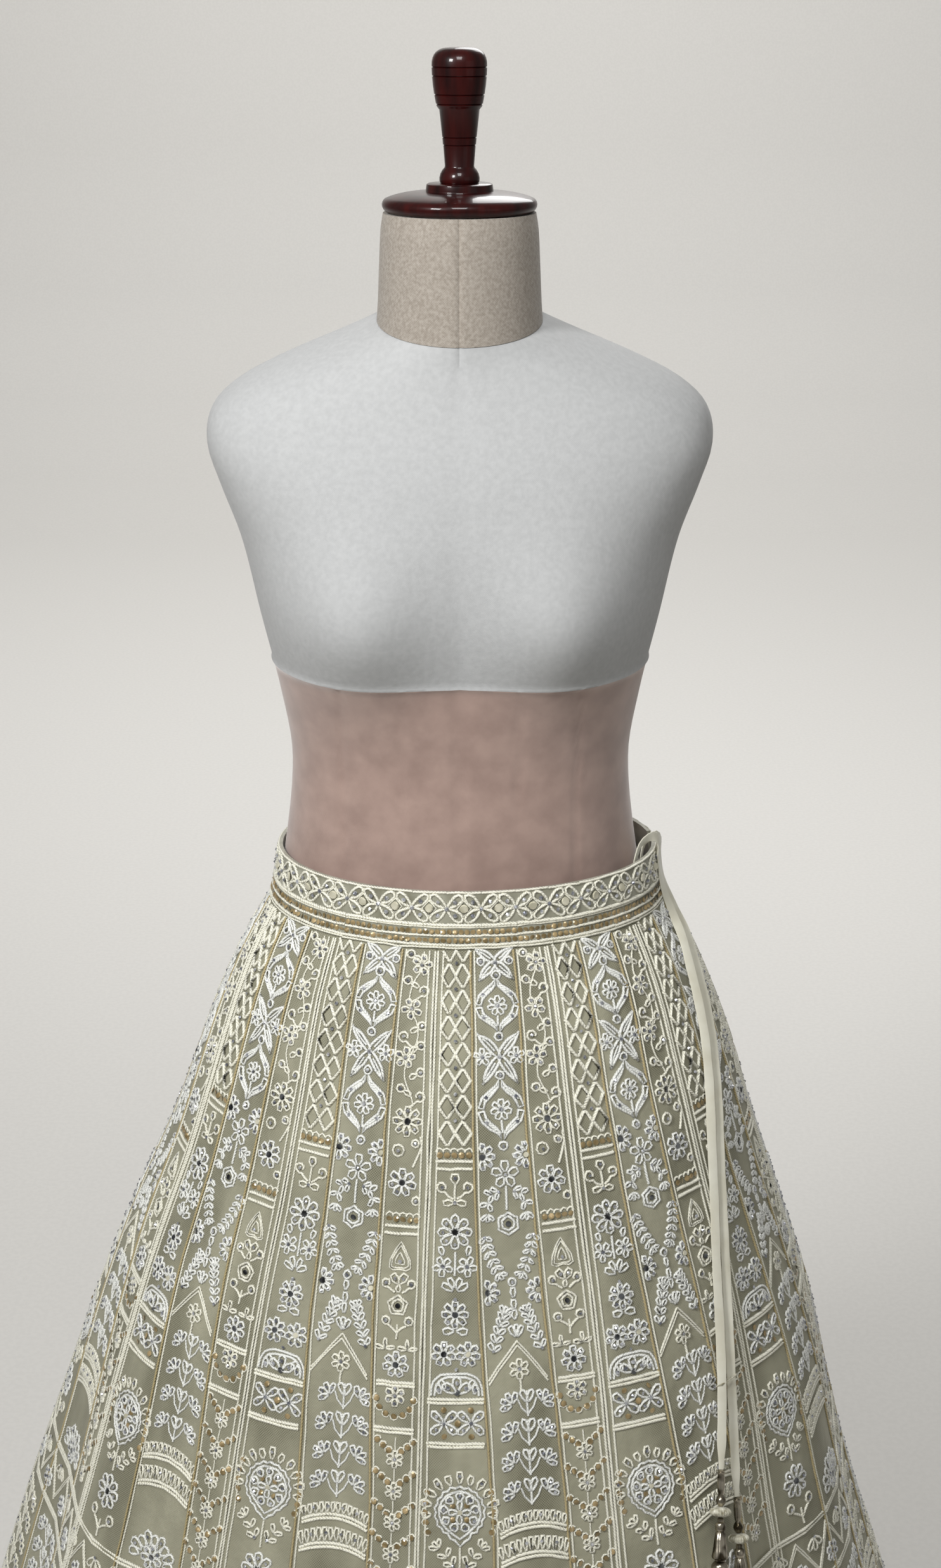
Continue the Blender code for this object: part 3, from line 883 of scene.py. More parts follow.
IVORY, SILVER, GOLD = Thread
SEQUIN, STONE, MIRROR, PEARL = Spangle
THREAD_RADIUS = 1.02
# Loops from this length on have eight points, shorter ones six
LONG_PETAL = 9.1


class Stroke(NamedTuple):
    """A line of stitches, flat: across in repeats and drop in millimetres."""

    points: np.ndarray
    closed: bool
    thread: Thread
    radius: float


class Spot(NamedTuple):
    """A sewn-on spangle, flat, with its radius in millimetres."""

    across: float
    drop: float
    kind: Spangle
    radius: float


@dataclass
class Pattern:
    """One repeat of embroidery, flat. Spread gives the repeat's width in millimetres at a drop."""

    spread: Callable[[float], float]
    strokes: list[Stroke] = field(default_factory=list)
    spots: list[Spot] = field(default_factory=list)

    def patch(
        self, across: float, drop: float, thread: Thread = IVORY, radius: float = THREAD_RADIUS
    ) -> Patch:
        """A place to work a motif in."""
        return Patch(self, across, drop, thread, radius=radius)

    def line(self, across: np.ndarray, drops: np.ndarray, thread: Thread, radius: float) -> None:
        """An open line of stitches through places given across in repeats and by their drops."""
        self.strokes.append(Stroke(np.stack([across, drops], 1), False, thread, radius))

    def rule(
        self, across: Sequence[float], drops: Sequence[float], thread: Thread, radius: float,
        step: float = 22.0,
    ) -> None:
        """A long line through the given places.

        Args:
            across: Where it lies across the repeat at each drop.
            drops: The drops, in millimetres.
            thread: Its thread.
            radius: Half its width in millimetres.
            step: The distance between its points.
        """
        count = max(2, round((drops[-1] - drops[0]) / step) + 1)
        places = np.linspace(drops[0], drops[-1], count)
        self.line(np.interp(places, drops, across), places, thread, radius)

    def double_cord(
        self, left: float, right: float, drop: float, gap: float = 2.5, radius: float = 1.3, points: int = 6
    ) -> None:
        """Two ivory cords side by side across a column.

        Args:
            left: Where they start, in repeats.
            right: Where they end.
            drop: Where the upper one lies.
            gap: How far apart they are.
            radius: Half the width of each.
            points: How many points each has.
        """
        across = (left + right) / 2 + (right - left) / 2 * np.linspace(-1, 1, points)
        for shift in (0.0, gap):
            self.line(across, np.full(points, drop + shift), IVORY, radius)

    def sequin_row(self, left: float, right: float, drop: float, count: int) -> None:
        """A row of sequins under small ivory scallops.

        Args:
            left: Where it starts, in repeats.
            right: Where it ends.
            drop: Where it lies.
            count: How many sequins it has.
        """
        pitch = (right - left) * self.spread(drop) / count
        for share in (np.arange(count) + 0.5) / count:
            patch = self.patch(left + (right - left) * share, drop)
            patch.spot(SEQUIN, pitch * 0.45)
            patch.arc(pitch * 0.5, 0, 180, 5, 0, pitch * 0.42, thick=0.75)

    def chevrons(self, middle: float, half: float, drops: Iterable[float], step: float) -> None:
        """Hooped sequins that rise to each side of a stem of small flowers.

        Args:
            middle: Where the stem lies, in repeats.
            half: How far the sequins reach to each side.
            drops: Where the flowers lie.
            step: From one flower to the next.
        """
        for drop in drops:
            patch = self.patch(middle, float(drop))
            patch.flower(6.2, 6)
            patch.trace([(0, 6.0), (0, 10.0), (0, step - 7.0)], radius=0.7)
            width = half * self.spread(float(drop))
            count = max(3, int(width / 5.4))
            for side in (-1, 1):
                for k in range(count):
                    x = side * (4.6 + (width - 7.0) * k / (count - 1))
                    patch.hooped_sequin(20, x, abs(x) * 0.78 + 2.5)


@dataclass
class Patch:
    """A place on the flat repeat and what is worked there, in millimetres to the right and up the cloth."""

    pattern: Pattern
    across: float
    drop: float
    thread: Thread = IVORY
    turn: float = 0.0
    radius: float = THREAD_RADIUS

    def flat(self, points: np.ndarray) -> np.ndarray:
        """Places on the flat repeat.

        Args:
            points: Local points.

        Returns:
            Where they lie across in repeats and down in millimetres.
        """
        angle = math.radians(self.turn)
        x = points[:, 0] * math.cos(angle) - points[:, 1] * math.sin(angle)
        y = points[:, 0] * math.sin(angle) + points[:, 1] * math.cos(angle)
        return np.stack([self.across + x / self.pattern.spread(self.drop), self.drop - y], axis=1)

    def at(self, x: float, y: float, turn: float = 0.0) -> Patch:
        """A patch moved and turned from this one.

        Args:
            x: How far it is moved to the right.
            y: How far it is moved up.
            turn: How far it is turned, in degrees anticlockwise.

        Returns:
            The patch.
        """
        place = self.flat(np.array([[x, y]]))[0]
        return Patch(self.pattern, place[0], place[1], self.thread, self.turn + turn, self.radius)

    def trace(self, points: Sequence, closed: bool = False, radius: float | None = None) -> None:
        """Works a line of stitches.

        Args:
            points: The local points that it runs through.
            closed: Whether its end meets its start.
            radius: Half its width, where it isn't the patch's own.
        """
        flat = self.flat(np.asarray(points, float))
        self.pattern.strokes.append(Stroke(flat, closed, self.thread, radius or self.radius))

    def spot(self, kind: Spangle, radius: float, x: float = 0.0, y: float = 0.0) -> None:
        """Sews on one spangle.

        Args:
            kind: What it is.
            radius: Its radius.
            x: Its place to the right.
            y: Its place upwards.
        """
        place = self.flat(np.array([[x, y]]))[0]
        self.pattern.spots.append(Spot(place[0], place[1], kind, radius))

    def spot_out(self, kind: Spangle, radius: float, reach: float, turn: float) -> None:
        """Sews on one spangle that far from the middle, at degrees clockwise from straight up."""
        angle = math.radians(turn)
        self.spot(kind, radius, reach * math.sin(angle), reach * math.cos(angle))

    def petal(
        self, length: float, width: float, turn: float = 0.0, base: float = 0.0, points: int = 0
    ) -> None:
        """A looped petal that points up before it is turned.

        Args:
            length: From its base to its tip.
            width: Across at its widest.
            turn: How far it leans, in degrees clockwise.
            base: How far from the patch's middle it starts.
            points: How many points its line has, or 0 for as many as its length asks.
        """
        points = points or (6 if length < LONG_PETAL else 8)
        sweep = np.linspace(0, 2 * np.pi, points, endpoint=False) + (np.pi / 6 if points == 6 else 0.0)
        rise = (1 - np.cos(sweep)) / 2
        x = width * 0.62 * np.sin(sweep) * (0.42 + 0.58 * rise)
        self.at(0, 0, -turn).trace(np.stack([x, base + length * rise], 1), closed=True)

    def arc(
        self, radius: float, start: float, end: float, count: int = 8, x: float = 0.0, y: float = 0.0,
        thick: float | None = None,
    ) -> None:
        """An arc of stitches.

        Args:
            radius: Its radius.
            start: Where it starts, in degrees anticlockwise from the right.
            end: Where it ends.
            count: How many points it has.
            x: Its centre to the right.
            y: Its centre upwards.
            thick: Half the thread's width, where it isn't the patch's own.
        """
        sweep = np.radians(np.linspace(start, end, count))
        self.trace(np.stack([x + radius * np.cos(sweep), y + radius * np.sin(sweep)], 1), radius=thick)

    def flower(
        self, reach: float, petals: int = 6, middle: Spangle = STONE, stones: bool = False, turn: float = 0.0
    ) -> None:
        """An open flower of looped petals.

        Args:
            reach: From its middle to a petal's tip.
            petals: How many petals it has.
            middle: What is sewn on in its middle.
            stones: Whether each petal holds a stone.
            turn: How far it is turned, in degrees clockwise.
        """
        heart = 0.2 * reach
        width = min(0.98 * 2 * math.pi * 0.64 * reach / petals, 0.62 * reach)
        for k in range(petals):
            lean = turn + 360 * k / petals
            self.petal(reach - heart, width, lean, heart)
            if stones:
                self.spot_out(STONE, 1.3, 0.7 * reach, lean)
        self.spot(middle, {STONE: 1.3, MIRROR: 2.3}.get(middle, 2.2))

    def edge_flower(self, reach: float, side: int, middle: Spangle) -> None:
        """A flower at the edge of its column, with petals towards the other side only.

        Args:
            reach: From its middle to a petal's tip.
            side: Which edge it is at, -1 or 1.
            middle: What is sewn on in its middle.
        """
        for turn in (4, 46, 90, 134, 176):
            self.petal(reach * 0.72, reach * 0.44, -side * turn, reach * 0.28)
            self.spot_out(STONE, 1.3, 0.8 * reach, -side * turn)
        self.spot(middle, 2.2)

    def rosette(self, reach: float, lobes: int = 6) -> None:
        """Two scalloped rings round a mirror.

        Args:
            reach: The outer ring's radius.
            lobes: How many scallops it has.
        """
        sweep = np.linspace(0, 2 * np.pi, lobes * 3, endpoint=False)
        for scale, deep in ((1.0, 0.11), (0.62, 0.06)):
            radius = reach * scale * (1 + deep * np.cos(lobes * sweep))
            self.trace(np.stack([radius * np.sin(sweep), radius * np.cos(sweep)], 1), closed=True)
        self.spot(MIRROR, reach * 0.3)

    def ringed_stone(self, radius: float = 2.9, x: float = 0.0, y: float = 0.0) -> None:
        """A stone in a loop of stitches.

        Args:
            radius: The loop's radius.
            x: Its place to the right.
            y: Its place upwards.
        """
        sweep = np.linspace(0, 2 * np.pi, 8, endpoint=False)
        self.trace(np.stack([x + radius * np.cos(sweep), y + radius * np.sin(sweep)], 1), closed=True)
        self.spot(STONE, 1.45, x, y)

    def spiral(self, x: float, y: float, radius: float, side: int) -> None:
        """A stone in a curl whose tail runs down and inwards.

        Args:
            x: The stone's place to the right.
            y: Its place upwards.
            radius: The curl's outer radius.
            side: Which side it is on, -1 or 1.
        """
        sweep = np.linspace(0.35, 2.15, 10) * np.pi
        reach = radius * np.linspace(1.0, 0.62, 10)
        curl = np.stack([x - side * reach * np.cos(sweep), y - reach * np.sin(sweep)], 1)
        out = side * radius
        tail = [(x - out * 1.9, y - radius * 2.0), (x - out * 1.1, y - radius * 1.5)]
        self.trace(np.concatenate([tail, curl]))
        self.spot(STONE, 1.4, x, y)

    def crossed_leaves(self, reach: float, upper: float, lower: float) -> None:
        """Four long double leaves that cross.

        Args:
            reach: Their length.
            upper: How far the upper two lean.
            lower: How far the lower two lean from straight down.
        """
        for turn in (upper, -upper, 180 - lower, 180 + lower):
            bend = math.copysign(reach * 0.1, turn if abs(turn) < 90 else 180 - turn)
            leaf = self.at(0, 0, -turn)
            y = np.linspace(0.05, 1.0, 6)
            half = 2.6 * np.sin(np.clip(y * 0.92 + 0.12, 0, 1) * np.pi) ** 0.7
            middle = bend * y**2
            right, left = np.stack([middle + half, y * reach], 1), np.stack([middle - half, y * reach], 1)
            leaf.trace(np.concatenate([right, left[::-1]]), closed=True, radius=1.2)
            leaf.trace(np.stack([middle[1:5], y[1:5] * reach], 1), radius=0.85)
        self.spot(STONE, 1.5)

    def ogee(self, half_width: float, half_height: float, petals: int = 7) -> None:
        """A pointed frame of four double leaves round a small flower on its stem.

        Args:
            half_width: From its middle to a side.
            half_height: From its middle to a point.
            petals: How many petals the flower has.
        """
        outer = np.array([(0.06, 1.0), (0.2, 0.82), (0.5, 0.65), (0.84, 0.42), (0.99, 0.08)])
        inner = np.array([(0.76, 0.05), (0.68, 0.27), (0.5, 0.44), (0.27, 0.6), (0.1, 0.8)])
        for up in (-1, 1):
            for side in (-1, 1):
                size = np.array([side * half_width, up * half_height])
                self.trace(np.concatenate([outer, inner]) * size, closed=True, radius=1.2)
                self.trace((outer[1:4] + inner[::-1][1:4]) / 2 * size, radius=0.9)
                self.spot(STONE, 1.45, side * half_width * 0.66, up * half_height * 0.44)
        self.flower(half_width * 0.46, petals)
        self.trace([(0, -half_width * 0.46), (0, -half_height * 0.8)])

    def fleur(self, size: float) -> None:
        """A fleur: a heart-shaped loop on a stem, two curls that hold stones, and two low petals.

        Args:
            size: Its size from the middle to the tip.
        """
        self.petal(size * 0.62, size * 0.56, 0, size * 0.42)
        self.spot(STONE, 1.4, 0, size * 0.78)
        self.trace([(0, -size * 0.6), (0, -size * 0.1), (0, size * 0.42)])
        for side in (-1, 1):
            self.spiral(side * size * 0.76, size * 0.22, size * 0.34, side)
            self.at(side * 0.8, -size * 0.66).petal(size * 0.62, size * 0.4, side * 96)
        self.spot(STONE, 1.4, 0, -size * 0.66)

    def sprig(self, size: float) -> None:
        """A forked sprig with a ringed stone on each arm.

        Args:
            size: Its size from the middle to the tip.
        """
        self.trace([(0, -size), (0, -size * 0.4), (0, size * 0.2)])
        for side in (-1, 1):
            self.trace([(0, -size * 0.5), (side * size * 0.4, -size * 0.1), (side * size * 0.8, size * 0.15)])
            self.ringed_stone(size * 0.34, side * size * 0.98, size * 0.5)

    def leaf_fan(self, size: float, spread: float) -> None:
        """A fan of three upright looped leaves.

        Args:
            size: A leaf's length.
            spread: How far the outer two lean, in degrees.
        """
        for turn in (-spread, 0.0, spread):
            self.petal(size, size * 0.42, turn, 0.4)

    def spray(
        self, line: Sequence[tuple[float, float]], pairs: int, leaf: float, opening: float = 48.0
    ) -> None:
        """Pairs of looped leaves along a curve, with a stone at its foot.

        Args:
            line: The curve's local points, from the foot to the tip.
            pairs: How many pairs of leaves it has.
            leaf: A leaf's length.
            opening: How far a leaf leans from the curve.
        """
        route = np.asarray(line, float)
        places = np.linspace(0, len(route) - 1.001, pairs)
        base = places.astype(int)
        ahead = route[base + 1] - route[base]
        at = route[base] + ahead * (places - base)[:, None]
        for (x, y), (dx, dy) in zip(at, ahead):
            lean = math.degrees(math.atan2(dx, dy))
            for side in (-1, 1):
                self.at(x, y).petal(leaf, leaf * 0.5, lean + side * opening, 0.3)
        self.at(*route[-1]).petal(leaf * 0.9, leaf * 0.5, math.degrees(math.atan2(*ahead[-1])))
        self.spot(STONE, 1.3, *route[0])

    def roof(self, half_width: float, rise: float) -> None:
        """An inverted V of double cord with slightly hollow sides.

        Args:
            half_width: How far each side reaches.
            rise: How far its feet lie below its peak.
        """
        share = np.linspace(0, 1, 4)
        for gap in (0.0, 3.3):
            for side in (-1, 1):
                y = -rise * share**1.08 - gap * (1.0 - 0.2 * share)
                self.trace(np.stack([side * half_width * share, y], 1), radius=0.85)

    def bunch(self, size: float, side: int) -> None:
        """A bunch of looped leaves that opens to one side, each leaf with a stone.

        Args:
            size: A leaf's length.
            side: The side it opens to, -1 or 1.
        """
        for turn in (-18, 26, 70, 114):
            self.petal(size, size * 0.5, side * turn, 0.6)
            self.spot_out(STONE, 1.25, 0.68 * size, side * turn)

    def tree(self, height: float, half_width: float, tiers: int = 4) -> None:
        """A straight trunk with tiers of leaf bunches and pointed leaves.

        Args:
            height: The trunk's height, up from the patch.
            half_width: How far the bunches reach.
            tiers: How many tiers there are.
        """
        step = height / tiers
        for foot in (step * k for k in range(tiers)):
            self.trace([(0, foot), (0, foot + step * 0.5), (0, foot + step * 0.86)], radius=0.95)
            for side in (-1, 1):
                x = side * half_width
                self.trace(
                    [(0, foot + 1), (x * 0.24, foot + step * 0.3), (x * 0.36, foot + step * 0.58)], radius=0.8
                )
                self.at(x * 0.56, foot + step * 0.42).bunch(half_width * 0.4, side)
                self.at(0, foot + step * 0.46).petal(step * 0.46, step * 0.2, side * 24)

    def loop_arch(self, half_width: float, sag: float, loops: int = 12) -> None:
        """Two bowed double cords with a row of upright loops over each.

        Args:
            half_width: How far they reach to each side.
            sag: How far their ends lie below their middles.
            loops: How many loops a row has.
        """
        places = np.linspace(-1, 1, 9)
        for drop in (9.6, 12.4, 30.4, 33.2):
            self.trace(np.stack([places * half_width, -drop - sag * places**2], 1), radius=1.35)
        for top, size in ((8.2, 7.6), (29.0, 10.2)):
            for share in np.linspace(-0.94, 0.94, loops):
                foot = self.at(share * half_width, -top - sag * share**2)
                foot.petal(size, 3.5, float(share) * 12, points=6)
            for share in np.linspace(-0.68, 0.68, 4):
                self.spot(STONE, 1.35, share * half_width, -top - sag * share**2 + size * 0.6)

    def pear_leaf(self, height: float) -> None:
        """A double pointed leaf on a broad foot, with a stone.

        Args:
            height: Its size from foot to tip.
        """
        right = np.array([(0, 0.56), (0.45, 0.3), (0.86, -0.05), (0.98, -0.36), (0.55, -0.44), (0, -0.4)])
        left = right[1:-1][::-1] * (-1, 1)
        for scale in (1.0, 0.8, 0.42):
            size, low = (height * 0.4 * scale, height * scale), (0, height * 0.08 * (1 - scale))
            self.trace(np.concatenate([right, left]) * size - low, closed=True, radius=0.75)
        self.spot(STONE, 1.6, 0, -height * 0.12)

    def trefoil(self, size: float) -> None:
        """Heart-shaped leaves over two side curls with stones.

        Args:
            size: About a leaf's length.
        """
        for turn in (-34, 34):
            self.petal(size * 0.95, size * 0.62, turn, size * 0.05)
            self.spot_out(STONE, 1.4, size * 0.6, turn)
        for side in (-1, 1):
            self.spiral(side * size * 1.0, size * 0.1, size * 0.38, side)
        self.petal(size * 0.6, size * 0.4, 180)

    def dome(self, half_width: float) -> None:
        """A half dome of nested arcs with jewelled petals inside.

        Args:
            half_width: From its middle to a side.
        """
        sweep = np.radians(np.linspace(0, 180, 13))
        for scale in (1.0, 0.84):
            x = half_width * scale * np.sign(np.cos(sweep)) * np.abs(np.cos(sweep)) ** 0.7
            y = half_width * 0.86 * scale * np.sin(sweep) ** 0.7
            self.trace(np.stack([x, y], 1))
        for turn in (-58, 0, 58):
            heart = self.at(0, half_width * 0.1)
            heart.petal(half_width * 0.56, half_width * 0.34, turn, half_width * 0.06)
            heart.spot_out(STONE, 1.6, half_width * 0.4, turn)
        for side in (-1, 1):
            self.at(side * half_width * 0.45, half_width * 0.25).petal(
                half_width * 0.4, half_width * 0.24, side * 30
            )
            self.at(side * half_width * 0.66, half_width * 0.08).petal(
                half_width * 0.36, half_width * 0.22, side * 12
            )
            self.spot(STONE, 1.5, side * half_width * 0.7, half_width * 0.24)
        self.spot(MIRROR, 2.3, 0, half_width * 0.14)

    def crossed_petals(self, reach: float) -> None:
        """Four jewelled petals in a cross round a stone.

        Args:
            reach: A petal's length.
        """
        for turn in (50, 130, 230, 310):
            self.petal(reach, reach * 0.5, turn, 0.8)
            self.spot_out(STONE, 1.35, reach * 0.66, turn)
        self.spot(STONE, 1.4)

    def halo(self, radius: float, petals: int, half_turn: float, size: float) -> None:
        """Jewelled loops that stand round part of a circle.

        Args:
            radius: The circle's radius.
            petals: How many loops there are.
            half_turn: How far they reach to each side of straight up, in degrees.
            size: A loop's length.
        """
        for k, turn in enumerate(np.linspace(-half_turn, half_turn, petals)):
            self.petal(size * (1.0 if k % 2 else 0.8), size * 0.56, float(turn), radius)
            if k % 2:
                self.spot_out(STONE, 1.35, radius + size * 0.62, float(turn))

    def medallion(self, radius: float) -> None:
        """A round medallion with a scalloped edge, jewelled petals, sequins and a pointed foot.

        Args:
            radius: Its radius.
        """
        sweep = np.linspace(0, 2 * np.pi, 36, endpoint=False)
        near_foot = np.exp(-(((sweep - np.pi) / 0.3) ** 2))
        edge = radius * (1 + 0.28 * near_foot) * (1 + 0.035 * np.cos(18 * sweep))
        self.trace(np.stack([edge * np.sin(sweep), edge * np.cos(sweep)], 1), closed=True)
        inner = radius * 0.84 * (1 + 0.3 * near_foot[::2])
        self.trace(np.stack([inner * np.sin(sweep[::2]), inner * np.cos(sweep[::2])], 1), closed=True)
        for k in range(9):
            self.petal(radius * 0.32, radius * 0.34, 40 * k, radius * 0.46, points=7)
            self.spot_out(STONE, 1.4, radius * 0.66, 40 * k)
        for k in range(4):
            self.spot_out(SEQUIN, 2.0, radius * 0.4, 90 * k + 45)
            self.petal(radius * 0.38, radius * 0.24, 90 * k, radius * 0.08, points=7)
        self.spot(PEARL, radius * 0.12)

    def hooped_sequin(self, start: float, x: float = 0.0, y: float = 0.0, size: float = 2.2) -> None:
        """A sequin held by half a hoop of thread that starts at this angle."""
        self.spot(SEQUIN, size, x, y)
        self.arc(size + 0.5, start, start + 190, 5, x, y, thick=0.7)


# Embroidery: the kali's three columns


@dataclass
class KaliEmbroidery:
    """The embroidery of one kali: a lattice column, a leaf column, a vine column, then the hem's borders."""

    surface: GarmentSurface
    first_rule: tuple[float, ...] = (0.317, 0.314, 0.33, 0.385, 0.385, 0.36, 0.34)
    second_rule: tuple[float, ...] = (0.705, 0.69, 0.712, 0.76, 0.765, 0.72, 0.68)
    rule_drops: tuple[float, ...] = (0.0, 110.0, 260.0, 400.0, 500.0, 700.0, 1030.0)
    seam_share: float = 0.035
    border_top: float = 905.0
    pattern: Pattern = field(init=False)

    def __post_init__(self) -> None:
        """Starts an empty pattern that knows the kali's width."""
        self.pattern = Pattern(lambda drop: float(self.surface.kali_width(np.float64(drop))))

    def middle(self, column: int, drop: float) -> float:
        """Where a column's motifs are centred.

        Args:
            column: The column, from 0.
            drop: Millimetres down the cloth.

        Returns:
            The share across the kali.
        """
        first, second = self.rules_at(drop)
        if column == 0:
            return (first + self.seam_share) / 2
        # The other two columns' motifs sit a little to the right
        if column == 1:
            return (first + second + 0.01) / 2
        return (second + 1 - self.seam_share + 0.015) / 2

    def rules_at(self, drop: float) -> tuple[float, float]:
        """Where the two dividing lines lie across the kali at this drop."""
        first = float(np.interp(drop, self.rule_drops, self.first_rule))
        return first, float(np.interp(drop, self.rule_drops, self.second_rule))

    def spot_in(self, column: int, drop: float, thread: Thread, x: float = 0.0) -> Patch:
        """A patch in the middle of a column, or x millimetres off it."""
        return self.pattern.patch(self.middle(column, drop), drop, thread).at(x, 0)

    def lines(self) -> None:
        """The chain lines along the seam and the gold lines between the columns."""
        seam = self.pattern
        drops = np.array([2.0, 500.0, 1000.0])
        widths = np.array([seam.spread(float(d)) for d in drops])
        for offset, radius in ((-5.0, 0.9), (-1.1, 1.05), (1.1, 1.05), (5.0, 0.9)):
            seam.rule(offset / widths, drops, IVORY, radius)
        for share in (self.first_rule, self.second_rule):
            places = np.array(self.rule_drops)
            spans = np.array([seam.spread(float(d)) for d in places])
            places = np.clip(places, 2.0, self.border_top)
            seam.rule(np.array(share) - 1.2 / spans, places, GOLD, 1.05)
            seam.rule(np.array(share) + 1.6 / spans, places, IVORY, 0.85)

    def lattice(self) -> None:
        """The paired diamonds at the head of the first column."""
        for k in range(8):
            drop = 1.0 + 18.6 * k
            patch = self.spot_in(0, drop, IVORY)
            width = 9.4 + 0.3 * k
            height = 7.7
            for side in (-1, 1):
                near, far = side * (width * 0.5 - 0.8), side * (width * 0.5 + 0.8)
                upper = [(0, 0.3), (near, height), (far, height), (side * width, 0.3)]
                lower = [(side * width, -0.3), (far, -height), (near, -height), (0, -0.3)]
                points = lower if k == 0 else upper + lower
                patch.trace(points, closed=k > 0, radius=1.5)
            if k < 7:
                patch.spot(STONE, 1.5, 0, -9.3)

    def jewel_column(self) -> None:
        """The first column from its first sequins down to its medallion."""
        at = partial(self.spot_in, 0)
        left, right = self.seam_share + 0.012, self.rules_at(145)[0] - 0.022
        self.pattern.sequin_row(left, right, 146.5, 5)
        self.pattern.double_cord(left, right, 151.0, 5.4)
        at(172.0, IVORY).fleur(12.0)
        at(201.0, SILVER).flower(12.3, 8, MIRROR, True)
        for side in (-1, 1):
            at(225.5, SILVER, side * 8.6).flower(7.2, 5, STONE, turn=side * 30)
            at(217.5, SILVER, side * 9.0).petal(6.5, 4.0, side * 14)
            at(243.0, SILVER).petal(9.0, 4.6, side * 62, 1.5)
            at(243.0, SILVER).petal(8.0, 4.4, side * 24, 2.5)
            at(271.0, SILVER).petal(8.0, 5.4, side * 94, 0.8)
            middle = MIRROR if side < 0 else PEARL
            at(287.5, SILVER, side * 8.6).flower(9.0, 7, middle, True)
        at(224.0, SILVER).trace([(0, 9.0), (0, 0), (0, -8.0)])
        at(248.5, SILVER).spot(STONE, 1.5)
        at(259.5, SILVER).flower(9.8, 8, MIRROR, True)
        at(298.0, SILVER).spot(STONE, 1.5)
        at(317.0, SILVER).dome(18.5)
        left, right = self.seam_share, self.rules_at(330)[0] - 0.018
        self.pattern.double_cord(left, right, 319.5)
        for side in (-1, 1):
            at(336.0, SILVER, side * 9.6).crossed_petals(10.8)
            for up in (-9.3, 9.3):
                at(336.0 + up, IVORY, side * 9.6).spot(SEQUIN, 2.2)
        at(336.0, IVORY).spot(SEQUIN, 2.4)
        self.pattern.double_cord(left, right, 350.5)
        at(398.5, SILVER).medallion(17.6)
        at(398.5, IVORY).halo(20.0, 11, 96, 9.0)
        for side in (-1, 1):
            for drop in (385.0, 392.0, 399.0, 406.0, 413.0):
                at(drop, IVORY, side * (24.5 - 0.01 * (drop - 399) ** 2)).hooped_sequin(side * -90)
            at(424.0, IVORY).spray([(side * 5, -12), (side * 9, -6), (side * 15, 0)], 3, 6.5)
        at(434.0, IVORY).trace([(0, 11), (0, 2), (0, -8)])

    def leaf_column(self) -> None:
        """The second column down to its inverted V."""
        at = partial(self.spot_in, 1)
        at(10.5, SILVER).crossed_leaves(17.0, 47.0, 50.0)
        for side in (-1, 1):
            at(9.5, SILVER, side * 10.2).ringed_stone(2.7)
            at(77.5, SILVER, side * 12.2).flower(6.2, 5)
        at(19.6, SILVER).ringed_stone(3.2)
        at(41.2, SILVER).ogee(15.4, 18.2)
        at(63.2, SILVER).ringed_stone()
        at(77.6, SILVER).crossed_leaves(22.5, 37.0, 38.0)
        at(90.6, SILVER).ringed_stone()
        at(115.0, SILVER).ogee(16.4, 20.6)
        at(140.8, SILVER).ringed_stone(3.0)
        for side, middle in ((-1, MIRROR), (1, PEARL)):
            at(148.0, SILVER, side * 15.8).edge_flower(9.6, side, middle)
            at(171.0, SILVER).spray(
                [(side * 5.5, -2), (side * 10, -4), (side * 13, -10), (side * 13.5, -18)], 4, 5.8
            )
            at(244.5, SILVER, side * 18.4).edge_flower(9.0, side, middle)
            at(205.0, SILVER).spray(
                [(side * 17.5, 0), (side * 15.5, -9), (side * 12, -18), (side * 8, -26)], 6, 5.4, 52
            )
            at(286.0, SILVER).spray(
                [(side * 17.5, 0), (side * 14.5, 10), (side * 11, 19), (side * 8.5, 26)], 6, 6.2, 40
            )
        at(161.0, SILVER).flower(10.0, 5)
        at(176.0, SILVER).trace([(0, 7), (0, 0), (0, -10)])
        at(196.0, SILVER).rosette(7.2)
        at(237.5, SILVER).ringed_stone(2.8)
        for drop in (248.5, 257.0, 264.5):
            at(drop, SILVER).petal(7.0, 3.9, 0)
        at(277.0, SILVER).leaf_fan(9.0, 30)
        at(279.5, IVORY).roof(20.5, 27.5)
        at(299.5, IVORY).flower(7.2, 6)
        at(310.0, IVORY).trace([(0, 4), (0, 0), (0, -6)])
        at(396.0, SILVER).tree(84.0, 21.0)
        at(399.5, IVORY).loop_arch(23.5, 6.0)

    def vine(self) -> None:
        """The flowering vine at the head of the third column."""
        at = partial(self.spot_in, 2)
        drops = np.arange(3.0, 116.0, 5.0)
        across = [self.middle(2, d) + 4.2 * math.sin(d / 8.6 + 0.6) / self.pattern.spread(d) for d in drops]
        self.pattern.line(across, drops, IVORY, 0.75)
        for drop, x in ((12.5, 3.0), (44.0, -1.5), (79.0, -4.0)):
            at(drop, IVORY, x).flower(7.6, 5, STONE, True, turn=drop)
        for drop, x in ((5.0, -5.5), (24.0, -6.0), (56.0, 6.5), (70.0, 6.8), (89.0, 7.5), (101.0, -6.0)):
            at(drop, IVORY, x).ringed_stone()
            at(drop, IVORY, x).petal(6.4, 3.8, -120 if x > 0 else 120, 2.6)
        for drop, x in ((31.0, 6.0), (64.0, -6.0), (106.0, 8.0)):
            at(drop, IVORY, x).spiral(0, 0, 4.1, 1 if x > 0 else -1)

